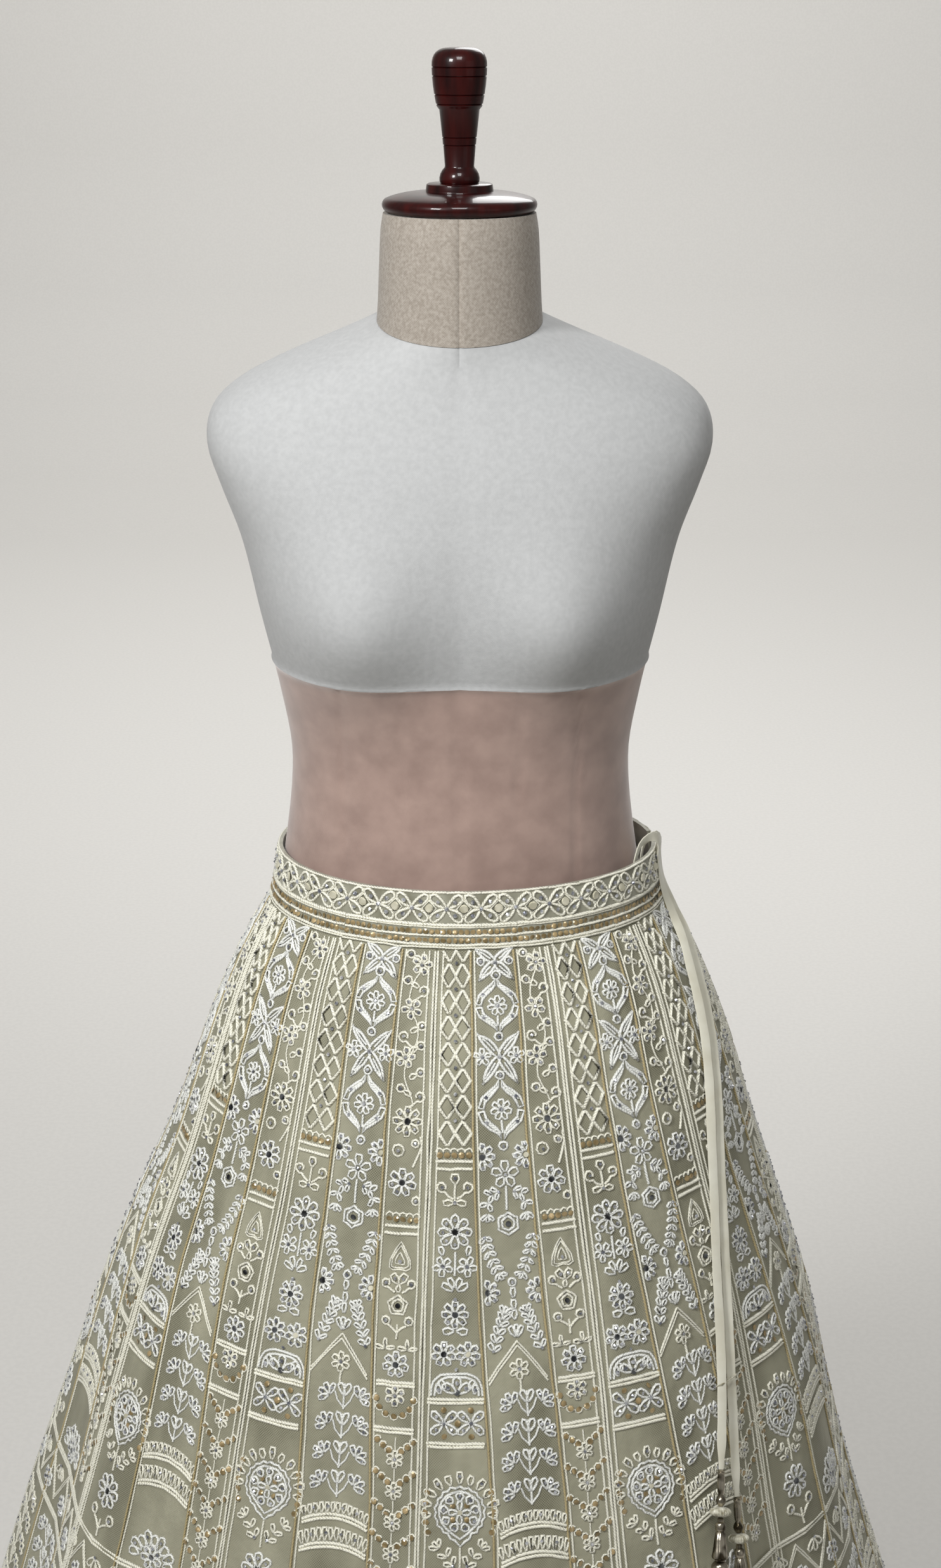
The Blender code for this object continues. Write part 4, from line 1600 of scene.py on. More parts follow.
    def vine_column(self) -> None:
        """The third column below its vine: flowers, sequins, leaves and sequin chevrons."""
        at = partial(self.spot_in, 2)
        at(124.0, IVORY).flower(11.0, 8, MIRROR, True)
        at(145.0, IVORY, -5.5).ringed_stone(4.2)
        at(146.0, IVORY, 8.0).trace([(2.0, 12.0), (3.0, 5.0), (0, -4.0), (-2.5, -10.0)])
        at(139.5, IVORY, 6.5).ringed_stone(2.6)
        at(167.5, SILVER, -1.5).flower(10.2, 7, MIRROR, True)
        at(180.0, IVORY, 9.0).ringed_stone(2.8)
        left, right = self.rules_at(190)[1] + 0.032, 0.955
        self.pattern.sequin_row(left, right, 193.5, 5)
        self.pattern.double_cord(left, right, 198.5, 5.2)
        at(221.0, IVORY).pear_leaf(20.0)
        at(240.0, IVORY).trefoil(9.0)
        at(255.0, IVORY).rosette(6.6, 5)
        at(270.0, IVORY).sprig(8.5)
        for side in (-1, 1):
            at(286.0, IVORY, side * 8.0).leaf_fan(6.6, 80)
        at(297.0, SILVER).flower(9.4, 7, MIRROR, True)
        left, right = self.rules_at(311)[1] + 0.02, 0.965
        self.pattern.double_cord(left, right, 309.5)
        bowl = at(320.0, IVORY)
        bowl.at(0, 1.0).flower(7.6, 6, STONE, True)
        for turn in np.linspace(-80, 80, 7):
            lean = math.radians(float(turn))
            bowl.hooped_sequin(175 + float(turn), 13.5 * math.sin(lean), -14.5 * math.cos(lean) + 1.0, 2.3)
        self.pattern.double_cord(left, right, 342.5)
        self.pattern.chevrons(self.middle(2, 420), 0.115, np.arange(364.0, 492.0, 22.6), 22.6)

    def borders(self) -> None:
        """The lower half: a zigzag band, large panels and the scalloped hem."""
        self.spot_in(0, 459.0, SILVER).flower(13.0, 8, MIRROR, True)
        self.spot_in(0, 484.0, IVORY).sprig(11.0)
        fan = self.spot_in(1, 492.0, SILVER)
        fan.halo(12.0, 9, 80, 12.0)
        fan.at(0, 4.0).flower(10.0, 7, MIRROR, True)
        self.full_rule(500.0)
        self.zigzag(507.0, 545.0, 4)
        self.full_rule(548.0)
        for column, half in ((0, 25.0), (1, 28.0), (2, 20.0)):
            self.spot_in(column, 644.0, SILVER if column == 1 else IVORY).tree(84.0, half * 0.9)
            self.spot_in(column, 648.0, IVORY).loop_arch(half, 4.0, 11 if column < 2 else 8)
            middle = self.spot_in(column, 729.0, SILVER)
            middle.medallion(20.0 if column < 2 else 17.0)
            self.spot_in(column, 729.0, IVORY).halo(23.0 if column < 2 else 19.5, 17, 152, 8.5)
            self.spot_in(column, 776.0, IVORY).flower(10.5, 8, STONE, True)
            for side in (-1, 1):
                self.spot_in(column, 794.0, IVORY).spray(
                    [(side * 4, 0), (side * 11, 7), (side * 16, 17), (side * 17, 27)], 6, 7.0
                )
        self.full_rule(800.0)
        self.zigzag(807.0, 846.0, 5)
        self.full_rule(850.0)
        for k in range(6):
            self.pattern.patch((k + 0.5) / 6, 880.0, SILVER).flower(14.0, 8, MIRROR, True)
            link = self.pattern.patch(k / 6 + 0.005, 880.0, IVORY)
            for turn in (0, 180):
                link.petal(13.0, 5.5, turn, 1.0)
                link.spot(STONE, 1.4, 0, 8.0 if turn else -8.0)
        self.full_rule(905.0)
        self.pattern.sequin_row(0.0, 1.0, 919.0, 30)
        self.full_rule(924.0)
        for k in range(7):
            patch = self.pattern.patch((k + 0.5) / 7, 948.0, SILVER)
            for turn in (-52, -26, 0, 26, 52):
                patch.petal(15.0, 5.4, turn, 2.0)
            for scale in (1.0, 0.8):
                patch.arc(17.0 * scale, 190, 350, 10, 0, -2.0, thick=1.1)
            patch.at(0, -28.0).flower(8.0, 6, STONE, True)
            patch.spot(MIRROR, 2.4, 0, -8.0)
            for side in (-1, 1):
                patch.spray([(side * 3, -42), (side * 8, -36), (side * 14, -26)], 3, 6.5)
        self.full_rule(1002.0)

    def full_rule(self, drop: float) -> None:
        """A double cord across the whole kali."""
        self.pattern.double_cord(0.0, 1.0, drop)

    def zigzag(self, top: float, bottom: float, peaks: int) -> None:
        """Peaks of double cord with a flower under each and loops between them.

        Args:
            top: The drop of the peaks.
            bottom: The drop of their feet.
            peaks: How many there are.
        """
        half = self.pattern.spread((top + bottom) / 2) / peaks / 2
        for k in range(peaks):
            patch = self.pattern.patch((k + 0.5) / peaks, top, IVORY)
            patch.roof(half, bottom - top - 6.0)
            self.pattern.patch((k + 0.5) / peaks, bottom - 11.0, SILVER).flower(8.4, 6, STONE, True)
            between = self.pattern.patch(k / peaks + 0.002, top + 3.0, IVORY)
            for turn in (140, 180, 220):
                between.petal(10.0, 5.0, turn, 2.0)
            between.spot(STONE, 1.5)

    def work(self) -> Pattern:
        """Lays out the whole kali.

        Returns:
            The flat pattern.
        """
        self.lines()
        self.lattice()
        self.jewel_column()
        self.leaf_column()
        self.vine()
        self.vine_column()
        self.borders()
        return self.pattern


@dataclass
class BandEmbroidery:
    """One repeat of the band: interlaced leaves round sequins, then cords and sequin rows."""

    repeat: float = 24.6
    pattern: Pattern = field(init=False)

    def work(self) -> Pattern:
        """Lays out one repeat, with drops measured from the band's upper edge.

        Returns:
            The flat pattern.
        """
        self.pattern = Pattern(lambda drop: self.repeat)
        node = self.pattern.patch(0.0, 12.4, IVORY, radius=1.15)
        for turn in (51, 129, 231, 309):
            node.petal(13.6, 6.6, turn, 0.9, points=10)
            node.spot_out(STONE, 1.7, 8.0, turn)
        node.spot(STONE, 1.7)
        ring = self.pattern.patch(0.5, 12.4, IVORY, radius=0.8)
        ring.spot(PEARL, 3.3)
        ring.trace([(0, 5.6), (5.4, 0), (0, -5.6), (-5.4, 0)], closed=True)
        for drop, radius in ((0.9, 0.9), (24.4, 1.35), (26.0, 0.8), (32.2, 1.05), (38.6, 1.2), (40.6, 0.8)):
            self.pattern.line(np.linspace(0, 1, 4), np.full(4, drop), IVORY, radius)
        for drop in (29.2, 35.4):
            for share in (np.arange(6) + 0.5) / 6:
                self.pattern.patch(float(share), drop).spot(SEQUIN, 2.0)
        return self.pattern


# Embroidery: onto the cloth


class Cut(NamedTuple):
    """A spangle's shape at a radius of one: its sides, its upper face's radius and its height."""

    sides: int
    upper: float
    height: float


CUTS = {
    SEQUIN: Cut(7, 0.42, 0.16), STONE: Cut(6, 0.0, 0.8), MIRROR: Cut(10, 0.9, 0.2), PEARL: Cut(9, 0.84, 0.3)
}


@dataclass
class Needle:
    """Carries a flat pattern onto the cloth and works it as threads and spangles."""

    wardrobe: Wardrobe
    seed: int = 7
    # How far a stitch strays in millimetres, and how far a spangle leans
    unevenness: float = 0.19
    spangle_tilt: float = 0.24
    # A thread's profile in shares of its radius: outwards, across, and how far off the cloth its middle is
    thread_sides: int = 3
    thread_rise: float = 0.84
    thread_breadth: float = 1.32
    thread_lift: float = 0.5
    # How far a spangle stands off the cloth: a share of its radius and a length, more for a set stone
    spangle_lift: float = 0.2
    flat_gap: float = 0.0003
    stone_gap: float = 0.0011
    thread_tree: bpy.types.NodeTree = field(init=False)
    spangle_tree: bpy.types.NodeTree = field(init=False)

    def __post_init__(self) -> None:
        """Builds the two node trees once."""
        self.thread_tree = self.make_thread_tree()
        self.spangle_tree = self.make_spangle_tree()

    def begin_tree(
        self, name: str, source: str, kinds: type[IntEnum], numbers: Sequence[str] = ()
    ) -> tuple[Callable[..., bpy.types.Node], bpy.types.Node, dict[IntEnum, bpy.types.Node]]:
        """Begins a tree with its named inputs and a choice of what is of each kind.

        Args:
            name: The tree's name.
            source: The name of the geometry that it works on.
            kinds: The kinds that have a material each.
            numbers: The names of the whole numbers that it is given.

        Returns:
            What adds its nodes, its group input, and the choice of each kind.
        """
        tree = bpy.data.node_groups.new(name, "GeometryNodeTree")
        wanted = [(source, "Geometry"), *((number, "Int") for number in numbers)]
        for label, socket in wanted + [(kind.name.title(), "Material") for kind in kinds]:
            tree.interface.new_socket(name=label, in_out="INPUT", socket_type=f"NodeSocket{socket}")
        tree.interface.new_socket(name="Worked", in_out="OUTPUT", socket_type="NodeSocketGeometry")
        add = partial(add_node, tree)
        given = add("NodeGroupInput")
        own = add("GeometryNodeInputNamedAttribute", {"Name": "kind"}, data_type="FLOAT")
        chosen = {}
        for kind in kinds:
            sought = {0: own, 1: float(kind), "Epsilon": 0.2}
            chosen[kind] = add("FunctionNodeCompare", sought, data_type="FLOAT", operation="EQUAL")
        return add, given, chosen

    def end_tree(
        self, add: Callable[..., bpy.types.Node], given: bpy.types.Node,
        chosen: dict[IntEnum, bpy.types.Node], worked: bpy.types.Node,
    ) -> bpy.types.NodeTree:
        """Ends a tree: makes its instances real and gives each kind its material.

        Args:
            add: Adds its nodes.
            given: Its group input.
            chosen: The choice of each kind.
            worked: The node with the geometry.

        Returns:
            The node tree.
        """
        flow = add("GeometryNodeRealizeInstances", {"Geometry": worked})
        for kind, choice in chosen.items():
            dressed = {"Geometry": flow, "Selection": choice, "Material": given.outputs[kind.name.title()]}
            flow = add("GeometryNodeSetMaterial", dressed)
        return add("NodeGroupOutput", {0: flow}).id_data

    def make_thread_tree(self) -> bpy.types.NodeTree:
        """The tree that turns lines into three-sided threads.

        Returns:
            The node tree.
        """
        add, given, chosen = self.begin_tree("WorkedThreads", "Lines", Thread, ["Sides"])
        curves = add("GeometryNodeMeshToCurve", {"Mesh": given.outputs["Lines"]})
        length = add("GeometryNodeSplineParameter").outputs["Length"]
        stored = partial(add, "GeometryNodeStoreNamedAttribute", data_type="FLOAT", domain="POINT")
        marked = stored({"Geometry": curves, "Name": "along", "Value": length})
        outwards = add("GeometryNodeInputNamedAttribute", {"Name": "outwards"}, data_type="FLOAT_VECTOR")
        upright = add("GeometryNodeSetCurveNormal", {"Curve": marked, "Normal": outwards}, mode="FREE")
        sides = {"Resolution": given.outputs["Sides"], "Radius": 1.0}
        circle = add("GeometryNodeCurvePrimitiveCircle", sides)
        # A corner of the profile is on top and a flat side on the cloth
        shaped = {"Geometry": circle, "Scale": (self.thread_rise, self.thread_breadth, 1.0)}
        ridged = add("GeometryNodeTransform", shaped)
        parts = add("ShaderNodeSeparateXYZ", {0: add("GeometryNodeInputPosition")})
        profile = stored({"Geometry": ridged, "Name": "across", "Value": parts.outputs[1]})
        radius = add("GeometryNodeInputNamedAttribute", {"Name": "thickness"}, data_type="FLOAT")
        swept = {"Curve": upright, "Profile Curve": profile, "Scale": radius, "Fill Caps": True}
        tube = add("GeometryNodeCurveToMesh", swept)
        return self.end_tree(add, given, chosen, add("GeometryNodeSetShadeSmooth", {"Geometry": tube}))

    def make_spangle_tree(self) -> bpy.types.NodeTree:
        """The tree that sets sequins, stones, mirrors and pale glass on their points.

        Returns:
            The node tree.
        """
        add, given, chosen = self.begin_tree("SewnSpangles", "Places", Spangle)
        size = add("GeometryNodeInputNamedAttribute", {"Name": "thickness"}, data_type="FLOAT")
        normal = add("GeometryNodeInputNamedAttribute", {"Name": "outwards"}, data_type="FLOAT_VECTOR")
        upright = add("FunctionNodeAlignRotationToVector", {"Vector": normal}, axis="Z")
        joined = add("GeometryNodeJoinGeometry")
        for kind, cut in CUTS.items():
            sizes = {
                "Vertices": cut.sides, "Radius Top": cut.upper, "Radius Bottom": 1.0, "Depth": cut.height
            }
            faceted = {
                "Geometry": add("GeometryNodeMeshCone", sizes, fill_type="NGON"), "Shade Smooth": False
            }
            sewn = {
                "Points": given.outputs["Places"], "Selection": chosen[kind], "Rotation": upright,
                "Scale": size, "Instance": add("GeometryNodeSetShadeSmooth", faceted),
            }
            feed(joined, {0: add("GeometryNodeInstanceOnPoints", sewn)})
        return self.end_tree(add, given, chosen, joined)

    def run_tree(
        self, name: str, mesh: bpy.types.Mesh, tree: bpy.types.NodeTree, kinds: type[IntEnum], **inputs: int
    ) -> bpy.types.Object:
        """Runs a tree on a mesh and keeps the result as a plain mesh.

        Args:
            name: The piece's name.
            mesh: What the tree works on.
            tree: The node tree.
            kinds: The kinds that it works.
            **inputs: The tree's other inputs by their names.

        Returns:
            The finished piece.
        """
        inputs.update({kind.name.title(): self.wardrobe.get(kind.name.lower()) for kind in kinds})
        draft = bpy.data.objects.new(f"{name}_draft", mesh)
        bpy.context.scene.collection.objects.link(draft)
        modifier = draft.modifiers.new("Work", "NODES")
        modifier.node_group = tree
        for item in tree.interface.items_tree:
            if item.in_out == "INPUT" and item.name in inputs:
                modifier[item.identifier] = inputs[item.name]
        bpy.context.view_layer.update()
        evaluated = draft.evaluated_get(bpy.context.evaluated_depsgraph_get())
        made = bpy.data.meshes.new_from_object(evaluated)
        made.name = name
        bpy.data.objects.remove(draft)
        piece = bpy.data.objects.new(name, made)
        bpy.context.scene.collection.objects.link(piece)
        return finish_piece(piece)

    def work(
        self, name: str, pattern: Pattern, carry: Carry, repeats: Sequence[float] = (0.0,)
    ) -> list[bpy.types.Object]:
        """Works a pattern on the cloth.

        Args:
            name: The start of the pieces' names.
            pattern: The flat pattern.
            carry: Turns flat places into points and outward directions.
            repeats: How far across each repeat starts.

        Returns:
            The threads and the spangles.
        """
        rng = np.random.default_rng([self.seed, *name.encode()])
        flat, edges, thick, kinds = [], [], [], []
        count = 0
        for shift in repeats:
            for stroke in pattern.strokes:
                size = len(stroke.points)
                flat.append(stroke.points + (shift, 0.0))
                edges.extend((count + k, count + k + 1) for k in range(size - 1))
                if stroke.closed:
                    edges.append((count + size - 1, count))
                thick.append(np.full(size, stroke.radius * MM))
                kinds.append(np.full(size, float(stroke.thread)))
                count += size
        thickness = np.concatenate(thick)
        points, outwards = carry(np.concatenate(flat))
        wobble = rng.normal(0.0, self.unevenness * MM, points.shape)
        points = points + wobble - outwards * np.sum(wobble * outwards, axis=1, keepdims=True)
        points = points + outwards * (thickness * self.thread_lift)[:, None]
        mesh = self.marked_mesh(points, edges, thickness, np.concatenate(kinds), outwards)
        threads = self.run_tree(f"{name}_threads", mesh, self.thread_tree, Thread, Sides=self.thread_sides)
        spots = np.array(
            [(s.across + shift, s.drop, s.kind, s.radius) for shift in repeats for s in pattern.spots]
        )
        points, outwards = carry(spots[:, :2])
        size = spots[:, 3] * MM
        gap = np.where(spots[:, 2] == STONE, self.stone_gap, self.flat_gap)
        points = points + outwards * (size * self.spangle_lift + gap)[:, None]
        tilt = unit(outwards + rng.normal(0.0, self.spangle_tilt, outwards.shape))
        mesh = self.marked_mesh(points, [], size, spots[:, 2], tilt)
        return [threads, self.run_tree(f"{name}_spangles", mesh, self.spangle_tree, Spangle)]

    def marked_mesh(
        self, points: np.ndarray, edges: Sequence, thickness: np.ndarray, kinds: np.ndarray,
        outwards: np.ndarray,
    ) -> bpy.types.Mesh:
        """A mesh with the attributes that the trees read.

        Args:
            points: Its points.
            edges: Its edges as pairs of point numbers.
            thickness: Half the width of what is worked at each point.
            kinds: The kind of thread or spangle at each point.
            outwards: The way off the cloth at each point.

        Returns:
            The mesh.
        """
        mesh = bpy.data.meshes.new("draft")
        mesh.from_pydata(points.tolist(), edges, [])
        for name, values in (("thickness", thickness), ("kind", kinds)):
            layer = mesh.attributes.new(name, "FLOAT", "POINT")
            layer.data.foreach_set("value", values.astype(np.float32))
        layer = mesh.attributes.new("outwards", "FLOAT_VECTOR", "POINT")
        layer.data.foreach_set("vector", outwards.astype(np.float32).ravel())
        return mesh


# The skirt


@dataclass
class Cloth:
    """Makes closed shells of cloth from grids of points."""

    def shell(
        self, name: str, outer: np.ndarray, inner: np.ndarray, flat: np.ndarray, material: bpy.types.Material
    ) -> bpy.types.Object:
        """A closed shell between two grids of points, with a map of its flat cut.

        Args:
            name: The piece's name.
            outer: Rows of outer points.
            inner: The matching inner points.
            flat: The flat place of each grid point in metres.
            material: Its material.

        Returns:
            The object.
        """
        rows, columns = outer.shape[:2]
        vertices = np.concatenate([outer.reshape(-1, 3), inner.reshape(-1, 3)])
        size = rows * columns
        faces = []
        for row in range(rows - 1):
            for column in range(columns - 1):
                a = row * columns + column
                faces.append((a, a + 1, a + columns + 1, a + columns))
                faces.append((size + a + columns, size + a + columns + 1, size + a + 1, size + a))
        rim = list(range(columns))
        rim += [row * columns + columns - 1 for row in range(1, rows)]
        rim += [(rows - 1) * columns + column for column in range(columns - 2, -1, -1)]
        rim += [row * columns for row in range(rows - 2, 0, -1)]
        for here, there in zip(rim, rim[1:] + rim[:1]):
            faces.append((there, here, size + here, size + there))
        piece = mesh_object(name, vertices, faces, [material])
        places = np.concatenate([flat.reshape(-1, 2), flat.reshape(-1, 2)])
        layer = piece.data.uv_layers.new(name="Cloth")
        corners = np.zeros(len(piece.data.loops), dtype=np.int64)
        piece.data.loops.foreach_get("vertex_index", corners)
        layer.data.foreach_set("uv", places[corners].astype(np.float32).ravel())
        return piece


@dataclass
class Skirt:
    """Twelve kalis with their embroidery."""

    surface: GarmentSurface
    wardrobe: Wardrobe
    needle: Needle
    rows: int = 72
    columns: int = 15

    def flat_cut(self, number: int) -> tuple[float, float, float]:
        """The flat sizes of one kali.

        Args:
            number: The kali's number from 0.

        Returns:
            Its width at the top, its width at the hem and its length.
        """
        widths = []
        for height in (BAND_BOTTOM_Z, HEM_Z):
            level = np.float64(height)
            share = self.surface.share_of_kali(number + 1.0, level) - self.surface.share_of_kali(
                number, level
            )
            widths.append(float(share) * self.surface.girth_at(height))
        return widths[0], widths[1], float(self.surface.drops[0]) * MM

    def build(self) -> None:
        """Makes every kali's cloth, threads and spangles."""
        pattern = KaliEmbroidery(self.surface).work()
        log.info("kali pattern: %d strokes, %d spangles", len(pattern.strokes), len(pattern.spots))
        for number in range(KALIS):
            name = f"kali_{number + 1:02d}"
            cloth = self.cloth(name, number)
            worked = self.needle.work(name, pattern, partial(self.carry, number))
            top, hem, length = self.flat_cut(number)
            faces = [len(piece.data.polygons) for piece in worked]
            log.info("%s: %.0f mm wide at the top, %.0f mm at the hem", name, top / MM, hem / MM)
            log.info("%s: %d thread and %d spangle faces", name, *faces)

    def carry(self, number: int, flat: np.ndarray) -> tuple[np.ndarray, np.ndarray]:
        """Carries flat places onto one kali."""
        return self.surface.at_kali(number + flat[:, 0], self.surface.height_of(flat[:, 1]))

    def cloth(self, name: str, number: int) -> bpy.types.Object:
        """Makes one kali's cloth.

        Args:
            name: The solid that it stands for.
            number: The kali's number from 0.

        Returns:
            The piece.
        """
        top = BAND_BOTTOM_Z - SEAM_GAP
        heights = top + (HEM_Z - top) * np.linspace(0, 1, self.rows) ** 1.1
        outer, inner, flat = [], [], []
        for height in heights:
            width = self.surface.girth_at(height) / KALIS
            inset = SEAM_GAP / 2 / width
            places = np.linspace(number + inset, number + 1 - inset, self.columns)
            points, outwards = self.surface.at_kali(places, np.full(self.columns, height))
            outer.append(points)
            inner.append(points - outwards * CLOTH)
            drop = float(np.interp(height, self.surface.heights, self.surface.drops)) * MM
            flat.append(np.stack([(places - number - 0.5) * width, np.full(self.columns, drop)], 1))
        piece = Cloth().shell(
            f"{name}_cloth", np.array(outer), np.array(inner), np.array(flat), self.wardrobe.get("cloth")
        )
        return finish_piece(piece, [name])


@dataclass
class Waistband:
    """The band in its two lengths, with its embroidery."""

    surface: GarmentSurface
    wardrobe: Wardrobe
    needle: Needle
    rows: int = 9
    columns: int = 150
    # In millimetres: the band's depth, and how near to its edges stitches may come
    depth: float = 41.0
    margin: float = 0.4

    def build(self) -> None:
        """Makes both lengths."""
        girth = self.surface.girth_at(BAND_TOP_Z)
        opening = self.surface.share_of_angle(OPENING_DEGREES)
        seam = self.surface.share_of_angle(BACK_SEAM_DEGREES)
        half_slit, half_gap = OPENING_WIDTH / 2 / girth, SEAM_GAP / 2 / girth
        lengths = (
            ("waistband_back", opening + half_slit, seam - half_gap),
            ("waistband_front", seam + half_gap, 1 + opening - half_slit),
        )
        for name, start, end in lengths:
            cloth = self.cloth(name, start, end)
            middle = self.surface.girth_at((BAND_TOP_Z + BAND_BOTTOM_Z) / 2)
            long = (end - start) * middle
            repeats = max(1, round(long / MM / BandEmbroidery().repeat))
            pattern = BandEmbroidery(long / MM / repeats).work()

            carry = partial(self.carry, start, end, (end - start) / repeats)
            worked = self.needle.work(name, pattern, carry, [float(k) for k in range(repeats)])
            log.info("%s: %d repeats, %d thread faces", name, repeats, len(worked[0].data.polygons))

    def carry(self, start: float, end: float, step: float, flat: np.ndarray) -> tuple[np.ndarray, np.ndarray]:
        """Carries flat places onto one length of the band.

        Args:
            start: The share of the girth at which the length starts.
            end: The share at which it ends.
            step: The share that one repeat takes.
            flat: The flat places.

        Returns:
            The points and the outward directions.
        """
        drop = np.clip(flat[:, 1], self.margin, self.depth - self.margin)
        height = BAND_TOP_Z - drop / self.depth * (BAND_TOP_Z - BAND_BOTTOM_Z)
        share = np.clip(start + flat[:, 0] * step, start + 0.001, end - 0.001)
        points, outwards = self.surface.at_share(share, height)
        return points + outwards * BAND_PROUD, outwards

    def cloth(self, name: str, start: float, end: float) -> bpy.types.Object:
        """Makes one length of the band.

        Args:
            name: The solid that it stands for.
            start: The share of the girth at which it starts.
            end: The share at which it ends.

        Returns:
            The piece.
        """
        outer, inner, flat = [], [], []
        for height in np.linspace(BAND_TOP_Z, BAND_BOTTOM_Z, self.rows):
            shares = np.linspace(start, end, self.columns)
            points, outwards = self.surface.at_share(shares, np.full(self.columns, height))
            outer.append(points + outwards * BAND_PROUD)
            inner.append(points + outwards * (BAND_PROUD - BAND_WALL))
            across = shares * self.surface.girth_at(height)
            flat.append(np.stack([across, np.full(self.columns, BAND_TOP_Z - height)], 1))
        piece = Cloth().shell(
            f"{name}_cloth", np.array(outer), np.array(inner), np.array(flat), self.wardrobe.get("band")
        )
        return finish_piece(piece, [name])


# The drawstring


@dataclass
class Tie:
    """One free end of the drawstring: a flat folded tie with its latkan."""

    side: str
    route: tuple[Route, ...]
    surface: GarmentSurface
    wardrobe: Wardrobe
    width: float = 0.0074
    thickness: float = 0.0013
    step: float = 0.0125
    nearer: float = -0.0002
    faces_front: float = 0.62
    ring_points: int = 12

    def outline_point(self, degrees: float, height: float) -> Vector:
        """A point on the cloth by angle and height."""
        x, y = self.surface.outline(np.array([degrees]), height)[0]
        return Vector((x, y, height))

    def route_points(self, nearer: float) -> tuple[list[Vector], list[Vector]]:
        """The route's own points and their outward directions.

        Args:
            nearer: How much closer to the cloth the tie lies than the route says.

        Returns:
            The points and the outward directions.
        """
        points, outwards = [], []
        last = len(self.route) - 1
        for k, (degrees, height, out) in enumerate(self.route):
            cloth_height = min(height, BAND_TOP_Z)
            here = self.outline_point(degrees, cloth_height)
            along = (self.outline_point(degrees + 0.5, cloth_height) - here).normalized()
            outward = Vector((along.y, -along.x, 0))
            closer = nearer if out > 0.003 and k < last - 3 else 0.0
            place = here + outward * (out - closer)
            points.append(Vector((place.x, place.y, height)))
            outwards.append(outward)
        return points, outwards

    def smooth(
        self, points: list[Vector], others: list[Vector], step: float
    ) -> tuple[list[Vector], list[Vector]]:
        """Evenly spaced points on a smooth curve.

        Args:
            points: The points that it runs through.
            others: Their outward directions.
            step: The distance between the new points.

        Returns:
            The new points and their outward directions.
        """
        run = [0.0]
        for here, there in zip(points, points[1:]):
            run.append(run[-1] + (there - here).length)
        rows = [(length, *point, *other) for length, point, other in zip(run, points, others)]
        count = round(run[-1] / step)
        values = [smooth_at(rows, run[-1] * k / count) for k in range(count + 1)]
        return [Vector(v[:3]) for v in values], [Vector(v[3:]) for v in values]

    def lay(self) -> tuple[list[Vector], list[Vector], list[Vector]]:
        """How the tie lies.

        Returns:
            Its middle line, the way its face looks at each point, and the way across it.
        """
        points, outwards = self.smooth(*self.route_points(self.nearer), self.step / 3)
        faces, across = [], []
        last = len(points) - 1
        for k, outward in enumerate(outwards):
            ahead = (points[min(k + 1, last)] - points[max(k - 1, 0)]).normalized()
            # Past its loop over the band the tie's face turns to the front, and it rocks a little on its way
            facing = outward.lerp(Vector((0, -1, 0)), self.faces_front * smooth_step((k - 16) / 14))
            out = (facing - ahead * facing.dot(ahead)).normalized()
            out = Matrix.Rotation(0.07 * math.sin(k * 0.13) + 0.04 * math.sin(k * 0.31 + 1.0), 3, ahead) @ out
            faces.append(out)
            across.append(ahead.cross(out).normalized())
        return points, faces, across

    def build(self) -> None:
        """Makes the tie and its latkan."""
        points, faces, sides = self.lay()
        vertices = []
        last = len(points) - 1
        for k, (place, out, side) in enumerate(zip(points, faces, sides)):
            # The last five points narrow into the latkan's cap, and the rest is a little uneven
            narrowing = 1 - 0.45 * smooth_step((k - last + 5) / 5)
            reach = self.width / 2 * narrowing * (1 + 0.03 * math.sin(k * 0.9))
            for point in range(self.ring_points):
                turn = 2 * math.pi * point / self.ring_points
                across = math.copysign(abs(math.cos(turn)) ** 0.45, math.cos(turn))
                deep = math.copysign(abs(math.sin(turn)) ** 0.8, math.sin(turn))
                crease = 0.16 * math.exp(-((across / 0.16) ** 2))
                vertices.append(
                    place + side * (across * reach)
                    + out * ((deep - crease * (deep > 0)) * self.thickness / 2)
                )
        piece = mesh_object(
            f"tie_{self.side}", vertices, ring_faces(len(points), self.ring_points), [
                self.wardrobe.get("tie")
            ]
        )
        finish_piece(piece, [f"strand_{self.side}"])
        latkan = Latkan(self.side, self, self.wardrobe).build()


